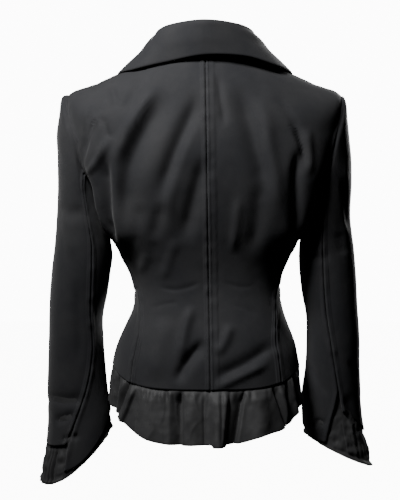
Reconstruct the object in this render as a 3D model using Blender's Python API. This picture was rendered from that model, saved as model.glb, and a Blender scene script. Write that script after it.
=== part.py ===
"""A woman's short fitted blazer in black cloth, with a satin hem ruffle and satin cuffs, filled out as when worn.

Metres, +Z up, +Y towards the wearer's front and +X to the wearer's right, so a view along +Y shows the back.
The origin lies midway between the points where the shoulder seams meet the neck, which is where a neck holds it.
Each piece of cloth is a wall: points on its middle surface, moved out and in by half its thickness.
"""

import math
from collections import namedtuple

import bpy
import numpy as np

CLOTH = 0.0018
SATIN = 0.0012
COLLAR_CLOTH = 0.0024
GAP = 0.0005
STEP = 0.02

# Rings round the trunk, from the hem up to the neck. Heights are at the centre back, the side and the centre
# front, the three reaches are from the trunk's middle to the side, the back and the front, square is how far
# the ring fills out its corners, and shift is how far its middle stands to the wearer's right.
Level = namedtuple("Level", "z_back z_side z_front half_width back front square shift")
TRUNK = [
    Level(-0.4900, -0.4560, -0.4540, 0.1385, 0.1110, 0.1080, 0.20, 0.0010),
    Level(-0.4560, -0.4310, -0.4300, 0.1330, 0.1050, 0.1050, 0.20, 0.0015),
    Level(-0.4200, -0.4040, -0.4030, 0.1220, 0.0950, 0.1005, 0.20, 0.0025),
    Level(-0.3840, -0.3780, -0.3775, 0.1115, 0.0845, 0.0965, 0.20, 0.0040),
    Level(-0.3530, -0.3520, -0.3520, 0.1090, 0.0790, 0.0960, 0.20, 0.0030),
    Level(-0.3250, -0.3250, -0.3250, 0.1140, 0.0800, 0.1020, 0.20, 0.0015),
    Level(-0.2970, -0.2970, -0.2970, 0.1255, 0.0850, 0.1130, 0.30, 0.0010),
    Level(-0.2650, -0.2650, -0.2650, 0.1400, 0.0920, 0.1270, 0.80, 0.0000),
    Level(-0.2320, -0.2320, -0.2320, 0.1450, 0.0980, 0.1340, 1.00, 0.0000),
    Level(-0.1970, -0.1970, -0.1980, 0.1510, 0.1030, 0.1290, 1.00, 0.0000),
    Level(-0.1650, -0.1550, -0.1660, 0.1850, 0.1050, 0.1150, 0.50, 0.0000),
    Level(-0.1330, -0.1080, -0.1380, 0.2040, 0.1035, 0.0980, 0.25, 0.0000),
    Level(-0.1040, -0.0625, -0.1150, 0.2030, 0.0990, 0.0840, 0.20, 0.0000),
    Level(-0.0750, -0.0430, -0.0980, 0.1580, 0.0915, 0.0720, 0.20, 0.0000),
    Level(-0.0440, -0.0215, -0.0820, 0.1130, 0.0800, 0.0620, 0.20, 0.0000),
    Level(-0.0160, 0.0000, -0.0680, 0.0720, 0.0660, 0.0550, 0.20, 0.0000),
]
DEPTH_SQUARE = 0.18
SHOULDER_TIP = 12.0
NECK = 15.0

# The armhole is an oval round the shoulder tip and the underarm; its clock runs from 0 at the tip, over the
# back at 90, to the underarm at 180.
ARM_MIDDLE = 10.30
ARM_HALF = SHOULDER_TIP - ARM_MIDDLE
ARM_BACK_DEGREES = 31.0
ARM_FRONT_DEGREES = 30.0
JUNCTION = 9.0
JUNCTION_CLOCK = math.degrees(math.acos((JUNCTION - ARM_MIDDLE) / ARM_HALF))

# Angles of the two long seams on each side, at each level from the hem up to the armhole. The centre back seam
# leans to the wearer's right by CENTRE_LEAN of its depth below the neck.
BACK_SEAM = [45.0, 45.5, 47.5, 55.0, 60.5, 70.5, 79.0, 80.0, 76.0]
FRONT_SEAM = [119.0, 118.0, 117.0, 115.0, 114.0, 114.0, 114.0, 114.0, 113.0]
CENTRE_LEAN = 0.0155

LOWER_ROWS = 13
ARM_ROWS = 6
YOKE_ROWS = 4
BACK_COLUMNS = 9
FRONT_COLUMNS = 8
SIDE_COLUMNS = 6

# The fronts cross by twice OVERLAP at the centre, and part at the break of the lapel.
OVERLAP = 0.018
LAP = 0.0014
LAP_FROM = 0.060
LAP_TO = 0.025
BREAK = JUNCTION * 10 / LOWER_ROWS
BREAK_Z = -0.2685
ROLL_SLOPE = 0.331

# Large folds of the trunk: a straight line in the back or front view, its half width and its height, which is
# negative for a trough.
Fold = namedtuple("Fold", "x0 z0 x1 z1 width height")
BACK_FOLDS = [
    Fold(-0.030, -0.050, -0.140, -0.265, 0.013, -0.0075),
    Fold(-0.055, -0.060, -0.160, -0.250, 0.013, 0.0030),
    Fold(-0.018, -0.100, -0.062, -0.250, 0.011, -0.0050),
    Fold(-0.150, -0.120, -0.142, -0.290, 0.009, -0.0090),
    Fold(0.150, -0.120, 0.142, -0.290, 0.009, -0.0090),
    Fold(0.045, -0.060, 0.090, -0.300, 0.013, -0.0055),
    Fold(0.080, -0.070, 0.118, -0.270, 0.012, 0.0040),
    Fold(-0.045, -0.455, 0.010, -0.395, 0.014, -0.0050),
    Fold(0.020, -0.470, 0.105, -0.420, 0.015, -0.0045),
]
FRONT_FOLDS = [
    Fold(0.060, -0.060, 0.150, -0.230, 0.014, -0.0040),
    Fold(-0.055, -0.065, -0.150, -0.240, 0.014, -0.0045),
    Fold(0.020, -0.345, 0.105, -0.300, 0.012, -0.0035),
    Fold(-0.015, -0.355, -0.105, -0.305, 0.012, -0.0035),
]
BUST = (0.078, -0.232, 0.045, 0.0070)

# Sections of a sleeve from the armhole down: its outer and inner points in the front view, and its reach
# towards the back and the front. The two sleeves hang differently.
Section = namedtuple("Section", "outer_x outer_z inner_x inner_z back front")
RIGHT_SLEEVE = [
    Section(0.2030, -0.0625, 0.1470, -0.2110, -0.058, 0.060),
    Section(0.2075, -0.0640, 0.1510, -0.2085, -0.0575, 0.0600),
    Section(0.2100, -0.0725, 0.1530, -0.2140, -0.0590, 0.0615),
    Section(0.2115, -0.0900, 0.1520, -0.2260, -0.0600, 0.0630),
    Section(0.2145, -0.1200, 0.1495, -0.2400, -0.0595, 0.0630),
    Section(0.2180, -0.1570, 0.1465, -0.2570, -0.058, 0.062),
    Section(0.2185, -0.1970, 0.1430, -0.2780, -0.056, 0.060),
    Section(0.2175, -0.2400, 0.1415, -0.3020, -0.053, 0.059),
    Section(0.2225, -0.2830, 0.1430, -0.3280, -0.050, 0.058),
    Section(0.2260, -0.3270, 0.1465, -0.3570, -0.047, 0.058),
    Section(0.2280, -0.3720, 0.1530, -0.3900, -0.044, 0.059),
    Section(0.2315, -0.4170, 0.1540, -0.4270, -0.041, 0.061),
    Section(0.2325, -0.4620, 0.1525, -0.4650, -0.038, 0.064),
    Section(0.2340, -0.5070, 0.1476, -0.5020, -0.036, 0.067),
    Section(0.2380, -0.5500, 0.1470, -0.5370, -0.036, 0.070),
    Section(0.2460, -0.5880, 0.1500, -0.5680, -0.038, 0.074),
    Section(0.2510, -0.6240, 0.1550, -0.5980, -0.041, 0.078),
    Section(0.2550, -0.6600, 0.1600, -0.6280, -0.044, 0.081),
]
LEFT_SLEEVE = [
    Section(0.2030, -0.0625, 0.1470, -0.2110, -0.058, 0.060),
    Section(0.2095, -0.0600, 0.1510, -0.2085, -0.0575, 0.0600),
    Section(0.2140, -0.0660, 0.1530, -0.2140, -0.0590, 0.0615),
    Section(0.2165, -0.0860, 0.1520, -0.2260, -0.0600, 0.0630),
    Section(0.2205, -0.1150, 0.1495, -0.2400, -0.0595, 0.0630),
    Section(0.2195, -0.1530, 0.1465, -0.2570, -0.058, 0.062),
    Section(0.2195, -0.1930, 0.1425, -0.2780, -0.056, 0.060),
    Section(0.2215, -0.2370, 0.1400, -0.3020, -0.053, 0.059),
    Section(0.2250, -0.2800, 0.1430, -0.3280, -0.050, 0.058),
    Section(0.2295, -0.3250, 0.1475, -0.3570, -0.047, 0.058),
    Section(0.2325, -0.3700, 0.1540, -0.3900, -0.044, 0.059),
    Section(0.2340, -0.4160, 0.1535, -0.4270, -0.041, 0.061),
    Section(0.2355, -0.4610, 0.1510, -0.4650, -0.038, 0.064),
    Section(0.2370, -0.5060, 0.1475, -0.5020, -0.036, 0.067),
    Section(0.2360, -0.5480, 0.1425, -0.5370, -0.036, 0.070),
    Section(0.2395, -0.5860, 0.1415, -0.5680, -0.038, 0.074),
    Section(0.2455, -0.6230, 0.1440, -0.6000, -0.040, 0.076),
    Section(0.2500, -0.6600, 0.1480, -0.6320, -0.042, 0.078),
]
SLEEVES = {1: RIGHT_SLEEVE, -1: LEFT_SLEEVE}
SLEEVE_SQUARE = 0.10
SLEEVE_SETTLES = 8.0
SLEEVE_ROWS = 16
UPPER_COLUMNS = 2 * ARM_ROWS
SLEEVE_BACK_SEAM = {
    1: [133.3, 124, 117, 112, 108, 105, 103, 101, 103, 105, 107, 101, 92, 82, 80, 79, 78, 77],
    -1: [133.3, 125, 118, 113, 109, 107, 106.5, 110, 113.5, 118, 125, 129, 122, 108, 89, 77, 75, 74],
}
SLEEVE_FRONT_SEAM = 226.7
SLEEVE_GAP_DEGREES = 1.0
ARMHOLE_GAP = 0.0024

# Where the cloth of each sleeve ends, as sections from the armhole: at its outer point, on both sides of the
# back seam, at its inner point and its front. The seam opens below vent_top, by so many degrees each way.
Cuff = namedtuple("Cuff", "outer upper_seam under_seam inner front vent_top vent_upper vent_under")
CUFFS = {
    1: Cuff(14.35, 13.60, 15.05, 14.55, 14.3, 12.85, 4.0, 33.0),
    -1: Cuff(14.85, 14.85, 16.05, 13.90, 14.3, 13.20, 2.0, 2.0),
}

# The satin cuff runs inside the sleeve from above the vent and reaches past the cloth.
CUFF_TOP = 12.0
CUFF_INSET = 0.0055
CUFF_SEAM_INSET = 0.0033
CUFF_COLUMNS = 32
CUFF_ROWS = 9
CuffReach = namedtuple("CuffReach", "outer seam inner front")
CUFF_REACH = {1: CuffReach(15.75, 15.45, 14.95, 15.2), -1: CuffReach(16.30, 16.25, 14.70, 15.3)}
CUFF_WAVES = {1: (9, 0.0010), -1: (14, 0.0018)}

# Folds of the hem ruffle: the angle at the seam, the half width in degrees, the height, and how far the fold
# leans, in degrees, by the lower edge.
Pleat = namedtuple("Pleat", "angle width height lean")
PLEATS = [
    Pleat(-166, 6.0, 0.0050, 2), Pleat(-154, 3.5, -0.0050, -2), Pleat(-143, 6.0, 0.0060, 1),
    Pleat(-131, 4.0, -0.0060, 3), Pleat(-121, 5.0, 0.0050, -2), Pleat(-111, 3.5, -0.0040, 0),
    Pleat(-98, 5.0, 0.0020, 2), Pleat(-86, 4.0, -0.0050, 0), Pleat(-73, 5.0, 0.0040, -2),
    Pleat(-61, 3.5, -0.0070, -3), Pleat(-50, 5.0, 0.0060, -5), Pleat(-41, 3.0, -0.0050, -4),
    Pleat(-28, 8.0, 0.0050, 0), Pleat(-13, 3.4, -0.0090, 0), Pleat(-6, 3.4, 0.0050, 1),
    Pleat(0, 2.0, -0.0030, 1), Pleat(6, 3.6, 0.0080, 0), Pleat(15, 3.2, -0.0090, -5),
    Pleat(26, 7.0, 0.0070, 0), Pleat(38, 3.0, -0.0050, 6), Pleat(49, 4.0, 0.0050, 3),
    Pleat(55, 3.0, -0.0060, 2), Pleat(67, 5.0, 0.0050, 3), Pleat(79, 4.0, -0.0060, 1),
    Pleat(92, 5.0, 0.0010, 0), Pleat(105, 4.0, -0.0060, -2), Pleat(117, 6.0, 0.0050, 2),
    Pleat(130, 4.0, -0.0060, -3), Pleat(142, 6.0, 0.0060, 0), Pleat(153, 3.5, -0.0050, 2),
    Pleat(164, 5.0, 0.0040, -1),
]
# The ruffle's depth at each 15 degrees all round, from the front edge on the wearer's left.
RUFFLE_DEPTHS = [
    0.0650, 0.0650, 0.0650, 0.0640, 0.0600, 0.0560, 0.0530, 0.0540, 0.0520, 0.0600, 0.0715, 0.0765, 0.0755,
    0.0740, 0.0650, 0.0640, 0.0530, 0.0520, 0.0530, 0.0560, 0.0600, 0.0640, 0.0650, 0.0650, 0.0650, 0.0650,
]
# At each 15 degrees from the centre back to the centre front: how far the ruffle's edge stands out past its
# seam, and the strength of its folds.
Hang = namedtuple("Hang", "flare strength")
RUFFLE_HANG = [
    Hang(0.0160, 1.00), Hang(0.0155, 1.00), Hang(0.0140, 1.00), Hang(0.0105, 1.00), Hang(0.0080, 0.90),
    Hang(0.0055, 0.60), Hang(0.0010, 0.15), Hang(0.0010, 0.15), Hang(0.0040, 0.60), Hang(0.0080, 1.00),
    Hang(0.0100, 1.00), Hang(0.0100, 1.00), Hang(0.0100, 1.00), Hang(0.0100, 1.00),
]
RUFFLE_GAP = 0.0012
RUFFLE_COLUMNS = 132
RUFFLE_ROWS = 4

# The collar: the angle of its seam on the neck, its fold, the middle of its fall and its edge.
Collar = namedtuple("Collar", "seam fold_x fold_y fold_z mid_x mid_y mid_z edge_x edge_y edge_z")
COLLAR = [
    Collar(0, 0.0000, -0.0690, 0.0403, 0.0000, -0.0765, 0.0150, 0.0000, -0.0758, -0.0092),
    Collar(34, 0.0430, -0.0570, 0.0368, 0.0530, -0.0655, 0.0130, 0.0605, -0.0690, -0.0148),
    Collar(64, 0.0650, -0.0280, 0.0325, 0.0845, -0.0400, 0.0080, 0.1040, -0.0505, -0.0240),
    Collar(90, 0.0710, 0.0040, 0.0265, 0.1000, 0.0000, 0.0010, 0.1300, -0.0040, -0.0265),
    Collar(104, 0.0725, 0.0250, 0.0130, 0.1020, 0.0360, -0.0140, 0.1320, 0.0380, -0.0370),
]
COLLAR_COLUMNS = 24
COLLAR_ROLL = 0.0030
COLLAR_END_ANGLE = 111.0
GORGE_TOP = (0.0665, -0.0165)
GORGE_LOW = (0.1000, -0.0660)
COLLAR_POINT = (0.1340, -0.0560)
LAPEL_POINT = (0.1370, -0.0900)
LAPEL_BELLY = (0.0620, -0.2300)
LAPEL_FOOT = 0.0060
LAPEL_LIFT = 0.0050
LAPEL_ROLL = 0.0030
LAPEL_ROWS = 9
LAPEL_COLUMNS = 6

BUTTON_LEVELS = (2.8, 4.45, 6.0)
BUTTON_RADIUS = 0.0095
BUTTON_THICK = 0.0032
BUTTON_GAP = 0.0010


def smooth_rows(table, at):
    """Rows of a table read at fractional places, on a smooth curve through them."""
    rows = np.array(table, float)
    at = np.asarray(at, float)
    last = len(rows) - 1
    low = np.clip(np.floor(at).astype(int), 0, last - 1)
    f = (at - low)[..., None] if rows.ndim > 1 else at - low
    before, here = rows[np.maximum(low - 1, 0)], rows[low]
    there, after = rows[low + 1], rows[np.minimum(low + 2, last)]
    return 0.5 * (
        2 * here
        + (there - before) * f
        + (2 * before - 5 * here + 4 * there - after) * f**2
        + (3 * here - before - 3 * there + after) * f**3
    )


def ease(x):
    """0 below 0, 1 above 1, smooth between."""
    x = np.clip(x, 0, 1)
    return x * x * (3 - 2 * x)


def unit(vectors):
    return vectors / np.maximum(np.linalg.norm(vectors, axis=-1, keepdims=True), 1e-12)


def lerp(a, b, t):
    return a + (b - a) * t


def smooth_trunk(angle, level):
    """The trunk without its folds. Angle 0 is the centre back, 90 the wearer's right side, 180 the front."""
    turn = np.radians(np.asarray(angle, float))
    row = smooth_rows(TRUNK, level)
    sine, cosine = np.sin(turn), np.cos(turn)
    behind = cosine >= 0
    reach = np.where(behind, row[..., 4], row[..., 5])
    end_z = np.where(behind, row[..., 0], row[..., 2])
    x = row[..., 7] + row[..., 3] * sine * (1 + row[..., 6] * cosine**2)
    y = -reach * cosine * (1 + DEPTH_SQUARE * sine**2)
    z = row[..., 1] + (end_z - row[..., 1]) * (1 - sine**4)
    return np.stack([x, y, z], axis=-1)


def normals_of(surface, a, b, a_step, b_step):
    """Unit normals of surface(a, b), by small steps each way."""
    along = surface(a + a_step, b) - surface(a - a_step, b)
    across = surface(a, b + b_step) - surface(a, b - b_step)
    return unit(np.cross(along, across))


def fold_heights(folds, points):
    x, z = points[..., 0], points[..., 2]
    total = np.zeros_like(x)
    for fold in folds:
        run = np.array([fold.x1 - fold.x0, fold.z1 - fold.z0])
        length = np.hypot(*run)
        along = ((x - fold.x0) * run[0] + (z - fold.z0) * run[1]) / length**2
        off = ((x - fold.x0) * run[1] - (z - fold.z0) * run[0]) / length
        total += fold.height * np.clip(1 - (2 * along - 1) ** 2, 0, 1) * np.exp(-((off / fold.width) ** 2))
    return total


def trunk(angle, level):
    """The trunk's middle surface, with its large folds and the fullness of the bust."""
    points = smooth_trunk(angle, level)
    outward = normals_of(smooth_trunk, angle, level, 0.5, STEP)
    behind = ease(0.5 + 3 * np.cos(np.radians(angle)))
    raised = fold_heights(BACK_FOLDS, points) * behind + fold_heights(FRONT_FOLDS, points) * (1 - behind)
    x, z, spread, height = BUST
    for side in (-1, 1):
        away = np.hypot(points[..., 0] - side * x, points[..., 2] - z)
        raised += height * (1 - behind) * np.exp(-((away / spread) ** 2))
    return points + outward * raised[..., None]


def trunk_normals(angle, level):
    return normals_of(trunk, angle, level, 0.5, STEP)


def one_gap(angle, level):
    """Half the seam gap, in degrees of trunk angle."""
    stride = np.linalg.norm(smooth_trunk(angle + 0.5, level) - smooth_trunk(angle - 0.5, level), axis=-1)
    return 0.5 * GAP / stride


def lapped(side, points, outward):
    """The front's points near the centre, moved out on the right front and in on the left one."""
    from_centre = points[..., 0] * side
    share = ease((LAP_FROM - from_centre) / (LAP_FROM - LAP_TO))
    return points + outward * (side * LAP * share)[..., None]


def roll_x(z):
    """The lapel's roll line in the front view, and below it the front's edge."""
    return -OVERLAP + ROLL_SLOPE * np.maximum(z - BREAK_Z, 0)


def front_edge(level):
    """The trunk angle of a front's free edge or roll line, by halving."""
    low, high = np.full_like(level, 95.0), np.full_like(level, 200.0)
    for _ in range(40):
        middle = (low + high) / 2
        point = smooth_trunk(middle, level)
        inside = point[..., 0] > roll_x(point[..., 2])
        low, high = np.where(inside, middle, low), np.where(inside, high, middle)
    return low


def front_at(x, z):
    """Trunk angle and level under a point of the front view, on the wearer's right, by Newton steps."""
    angle, level = np.full_like(x, 140.0), np.full_like(x, 10.5)
    for _ in range(30):
        here = smooth_trunk(angle, level)[..., [0, 2]]
        by_angle = (smooth_trunk(angle + 0.1, level)[..., [0, 2]] - here) / 0.1
        by_level = (smooth_trunk(angle, level + 0.01)[..., [0, 2]] - here) / 0.01
        miss_x, miss_z = x - here[..., 0], z - here[..., 1]
        size = by_angle[..., 0] * by_level[..., 1] - by_angle[..., 1] * by_level[..., 0]
        angle = angle + np.clip((miss_x * by_level[..., 1] - miss_z * by_level[..., 0]) / size, -8, 8)
        level = level + np.clip((miss_z * by_angle[..., 0] - miss_x * by_angle[..., 1]) / size, -0.8, 0.8)
        angle, level = np.clip(angle, 92, 195), np.clip(level, 0, NECK)
    return angle, level


def on_front(side, x, z, lift):
    """Points over the front view's (x, z), lifted off the front of that side."""
    angle, level = front_at(x, z)
    points = trunk(side * angle, level)
    outward = trunk_normals(side * angle, level)
    return lapped(side, points, outward) + outward * np.asarray(lift)[..., None]


def arm_angle(clock):
    turn = np.sin(np.radians(clock))
    return 90 - np.where(turn > 0, ARM_BACK_DEGREES, ARM_FRONT_DEGREES) * turn


def arm_level(clock):
    return ARM_MIDDLE + ARM_HALF * np.cos(np.radians(clock))


def sleeve(side, clock, at):
    """A sleeve's middle surface: its clock as the armhole's, and its place in the table of sections."""
    row = smooth_rows(SLEEVES[side], at)
    first = smooth_rows(SLEEVES[side], np.zeros_like(at))
    turn = np.radians(clock)
    sine, cosine = np.sin(turn), np.cos(turn)

    def ring(section):
        half_x = (section[..., 0] - section[..., 2]) / 2
        half_z = (section[..., 1] - section[..., 3]) / 2
        half_y = (section[..., 5] - section[..., 4]) / 2
        reach = cosine * (1 + SLEEVE_SQUARE * sine**2)
        x = section[..., 2] + half_x + half_x * reach
        y = (section[..., 4] + section[..., 5]) / 2 - half_y * sine * (1 + SLEEVE_SQUARE * cosine**2)
        z = section[..., 3] + half_z + half_z * reach
        return np.stack([side * x, y, z], axis=-1)

    seam = trunk(side * arm_angle(clock), arm_level(clock))
    settle = (1 - ease(at / SLEEVE_SETTLES))[..., None]
    return ring(row) + (seam - ring(first)) * settle


def sleeve_normals(side, clock, at):
    return side * normals_of(lambda c, a: sleeve(side, c, a), clock, np.maximum(at, STEP), 0.5, STEP)


def round_clock(values, clock):
    """A value given at the outer, back, inner and front points, smooth all round the sleeve."""
    outer, back, inner, front = values
    turn = np.radians(clock)
    sine, cosine = np.sin(turn), np.cos(turn)
    middle = (outer + inner) / 2
    return middle + (outer - inner) / 2 * cosine + (np.where(sine > 0, back, front) - middle) * sine**2


def remove_all():
    for old in list(bpy.data.objects):
        bpy.data.objects.remove(old, do_unlink=True)


def make_material(name, colour, roughness):
    material = bpy.data.materials.new(name)
    material.use_nodes = True
    shader = material.node_tree.nodes["Principled BSDF"]
    shader.inputs["Base Color"].default_value = (*colour, 1)
    shader.inputs["Roughness"].default_value = roughness
    shader.inputs["Metallic"].default_value = 0.0
    return material


def add_mesh(name, points, faces, material):
    mesh = bpy.data.meshes.new(name)
    mesh.from_pydata([tuple(p) for p in points], [], faces)
    mesh.materials.append(material)
    mesh.shade_smooth()
    mesh.set_sharp_from_angle(angle=math.radians(50))
    piece = bpy.data.objects.new(name, mesh)
    bpy.data.collections["blazer"].objects.link(piece)
    return piece


def signed_volume(points, faces):
    total = 0.0
    for face in faces:
        corners = points[list(face)]
        for i in range(1, len(face) - 1):
            total += np.dot(corners[0], np.cross(corners[i], corners[i + 1]))
    return total


def wall(name, middle, outward, thick, material, ring=False):
    """A closed wall on a grid of points. A ring's last column joins its first."""
    rows, columns = middle.shape[:2]
    outer = (middle + outward * thick / 2).reshape(-1, 3)
    inner = (middle - outward * thick / 2).reshape(-1, 3)
    points = np.concatenate([outer, inner])
    back = rows * columns
    across = columns if ring else columns - 1
    faces = []
    for i in range(rows - 1):
        for j in range(across):
            k = (j + 1) % columns
            a, b = i * columns + j, i * columns + k
            c, d = a + columns, b + columns
            faces.append((a, b, d, c))
            faces.append((back + a, back + c, back + d, back + b))
    for j in range(across):
        k = (j + 1) % columns
        top = (rows - 1) * columns
        faces.append((j, back + j, back + k, k))
        faces.append((top + j, top + k, back + top + k, back + top + j))
    if not ring:
        for i in range(rows - 1):
            a, b = i * columns, (i + 1) * columns
            faces.append((a, b, back + b, back + a))
            a, b = a + columns - 1, b + columns - 1
            faces.append((a, back + a, back + b, b))
    if signed_volume(points, faces) < 0:
        faces = [tuple(reversed(face)) for face in faces]
    return add_mesh(name, points, faces, material)


def grid_normals(points, ring=False):
    down = np.gradient(points, axis=0)
    if ring:
        across = (np.roll(points, -1, axis=1) - np.roll(points, 1, axis=1)) / 2
    else:
        across = np.gradient(points, axis=1)
    return unit(np.cross(across, down))


def trunk_rows():
    """Levels of a back's or front's rows, and the armhole clock of those on the armhole."""
    lower = np.linspace(0, JUNCTION, LOWER_ROWS + 1)
    clock = np.linspace(JUNCTION_CLOCK, 0, ARM_ROWS + 1)[1:]
    yoke = np.linspace(SHOULDER_TIP, NECK, YOKE_ROWS + 1)[1:]
    return lower, clock, yoke


def seam_at(table, junction_angle, level):
    return smooth_rows([*table, junction_angle], level)


def back_seam(level):
    return seam_at(BACK_SEAM, float(arm_angle(np.array(JUNCTION_CLOCK))), level)


def front_seam(level):
    return seam_at(FRONT_SEAM, float(arm_angle(np.array(-JUNCTION_CLOCK))), level)


def centre_seam(level):
    """Angle of the centre back seam."""
    row = smooth_rows(TRUNK, level)
    off = -CENTRE_LEAN * row[..., 0] - row[..., 7]
    return np.degrees(off / (row[..., 3] * (1 + row[..., 6])))


def build_back(side, name, material):
    lower, clock, yoke = trunk_rows()
    levels = np.concatenate([lower, arm_level(clock), yoke])
    tips = np.full(YOKE_ROWS, 90.0)
    outer = np.concatenate([back_seam(lower) - one_gap(back_seam(lower), lower), arm_angle(clock), tips])
    shoulder = 90 - one_gap(np.full_like(levels, 90.0), levels)
    outer = np.where(levels > JUNCTION, np.minimum(outer, shoulder), outer)
    inner = centre_seam(levels) + side * one_gap(np.zeros_like(levels), levels)
    share = np.linspace(0, 1, BACK_COLUMNS + 1)
    angle = lerp(inner[:, None], side * outer[:, None], share)
    level = np.repeat(levels[:, None], BACK_COLUMNS + 1, axis=1)
    return wall(name, trunk(angle, level), trunk_normals(angle, level), CLOTH, material)


def build_front(side, name, material):
    lower, clock, yoke = trunk_rows()
    levels = np.concatenate([lower, arm_level(clock), yoke])
    tips = np.full(YOKE_ROWS, 90.0)
    outer = np.concatenate([front_seam(lower) + one_gap(front_seam(lower), lower), arm_angle(-clock), tips])
    shoulder = 90 + one_gap(np.full_like(levels, 90.0), levels)
    outer = np.where(levels > JUNCTION, np.maximum(outer, shoulder), outer)
    inner = front_edge(levels)
    share = np.linspace(0, 1, FRONT_COLUMNS + 1)
    angle = side * lerp(inner[:, None], outer[:, None], share)
    level = np.repeat(levels[:, None], FRONT_COLUMNS + 1, axis=1)
    outward = trunk_normals(angle, level)
    return wall(name, lapped(side, trunk(angle, level), outward), outward, CLOTH, material)


def build_side(side, name, material):
    clock = np.linspace(JUNCTION_CLOCK, 360 - JUNCTION_CLOCK, SIDE_COLUMNS + 1)
    top_angle, top_level = arm_angle(clock), arm_level(clock)
    share = (top_angle - top_angle[0]) / (top_angle[-1] - top_angle[0])
    up = np.linspace(0, 1, LOWER_ROWS + 1)[:, None]
    level = up * top_level
    angle = lerp(back_seam(level), front_seam(level), share)
    miss = top_angle - lerp(back_seam(top_level), front_seam(top_level), share)
    angle = angle + miss * up**3
    angle[:, 0] += one_gap(angle[:, 0], level[:, 0])
    angle[:, -1] -= one_gap(angle[:, -1], level[:, -1])
    angle = side * angle
    return wall(name, trunk(angle, level), trunk_normals(angle, level), CLOTH, material)


def into_armhole(side, clock):
    """Directions along the trunk's surface, off its cloth and into the armhole."""
    here = trunk(side * arm_angle(clock), arm_level(clock))
    along = trunk(side * arm_angle(clock + 1), arm_level(clock + 1)) - here
    outward = trunk_normals(side * arm_angle(clock), arm_level(clock))
    return side * unit(np.cross(outward, along))


def sleeve_rows(side, clock_low, clock_high, columns, end):
    """A sleeve panel's grid: its clock between two seams, and its rows down to the end at each column."""
    down = np.linspace(0, 1, SLEEVE_ROWS + 1)[:, None]
    share = np.linspace(0, 1, columns + 1)
    at = down * end(share)
    low, high = clock_low(at), clock_high(at)
    clock = lerp(low, high, share)
    clock[:, 0] += SLEEVE_GAP_DEGREES
    clock[:, -1] -= SLEEVE_GAP_DEGREES
    points = sleeve(side, clock, at)
    clear = ARMHOLE_GAP * (1 - ease(at / 2))
    points += into_armhole(side, clock) * clear[..., None]
    return points, sleeve_normals(side, clock, at)


def vent(side, at, end, degrees):
    """How far one side of the vent stands off the seam's line at each section."""
    top = CUFFS[side].vent_top
    return degrees * np.clip((at - top) / (end - top), 0, 1)


def build_sleeve(side, upper_name, under_name, material):
    cuff = CUFFS[side]

    def back_line(at):
        return smooth_rows(SLEEVE_BACK_SEAM[side], at)

    def end_between(first, last, seam):
        def end(share):
            return round_clock((cuff.outer, seam, cuff.inner, cuff.front), lerp(first, last, share))

        return end

    last_seam = SLEEVE_BACK_SEAM[side][15]
    upper = sleeve_rows(
        side,
        lambda at: SLEEVE_FRONT_SEAM - 360 + 0 * at,
        lambda at: back_line(at) - vent(side, at, cuff.upper_seam, cuff.vent_upper),
        UPPER_COLUMNS,
        end_between(SLEEVE_FRONT_SEAM - 360, last_seam, cuff.upper_seam),
    )
    under = sleeve_rows(
        side,
        lambda at: back_line(at) + vent(side, at, cuff.under_seam, cuff.vent_under),
        lambda at: SLEEVE_FRONT_SEAM + 0 * at,
        SIDE_COLUMNS,
        end_between(last_seam, SLEEVE_FRONT_SEAM, cuff.under_seam),
    )
    wall(upper_name, *upper, CLOTH, material)
    wall(under_name, *under, CLOTH, material)


def build_cuff(side, name, material):
    clock = np.linspace(0, 360, CUFF_COLUMNS, endpoint=False)[None, :]
    down = np.linspace(0, 1, CUFF_ROWS + 1)[:, None]
    at = lerp(CUFF_TOP, round_clock(CUFF_REACH[side], clock), down)
    clock = np.repeat(clock, CUFF_ROWS + 1, axis=0)
    cloth = CUFFS[side]
    free = at - round_clock((cloth.outer, cloth.under_seam, cloth.inner, cloth.front), clock) - 0.1
    count, height = CUFF_WAVES[side]
    wave = height * np.cos(np.radians(count * clock + 40 * np.sin(np.radians(2 * clock)))) * ease(free / 0.8)
    inset = wave - lerp(CUFF_SEAM_INSET, CUFF_INSET, ease(down / 0.2))
    points = sleeve(side, clock, at) + sleeve_normals(side, clock, at) * inset[..., None]
    return wall(name, points, side * grid_normals(points, ring=True), SATIN, material, ring=True)


def build_ruffle(name, material):
    end = 180 + math.degrees(OVERLAP / TRUNK[0].half_width) * 0.86
    angle = np.linspace(-end, end, RUFFLE_COLUMNS + 1)[None, :]
    down = np.linspace(0, 1, RUFFLE_ROWS + 1)[:, None]
    hem = np.zeros_like(angle)
    top = trunk(angle, hem)
    outward = trunk_normals(angle, hem)
    outward[..., 2] = 0
    outward = unit(outward)
    side = np.sign(angle)
    hang = smooth_rows(RUFFLE_HANG, np.abs(angle) / 15)
    flare, strength = hang[..., 0], hang[..., 1]
    depth = smooth_rows(RUFFLE_DEPTHS, 12 + angle / 15)
    share = ease((LAP_FROM - top[..., 0] * side) / (LAP_FROM - LAP_TO)) * (np.abs(angle) > 90)
    raised = sum(
        pleat.height * np.exp(-(((angle - pleat.angle - pleat.lean * down) / pleat.width) ** 2)) for pleat in PLEATS
    )
    calm = 1 - ease((np.abs(angle) - 165) / 10)
    raised = raised * calm * strength * (0.25 + 0.75 * down)
    out = flare * down + raised + side * share * (LAP + 0.0020 * down)
    points = top + outward * out[..., None]
    points[..., 2] -= RUFFLE_GAP + depth * down
    return wall(name, points, grid_normals(points), SATIN, material)


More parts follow.
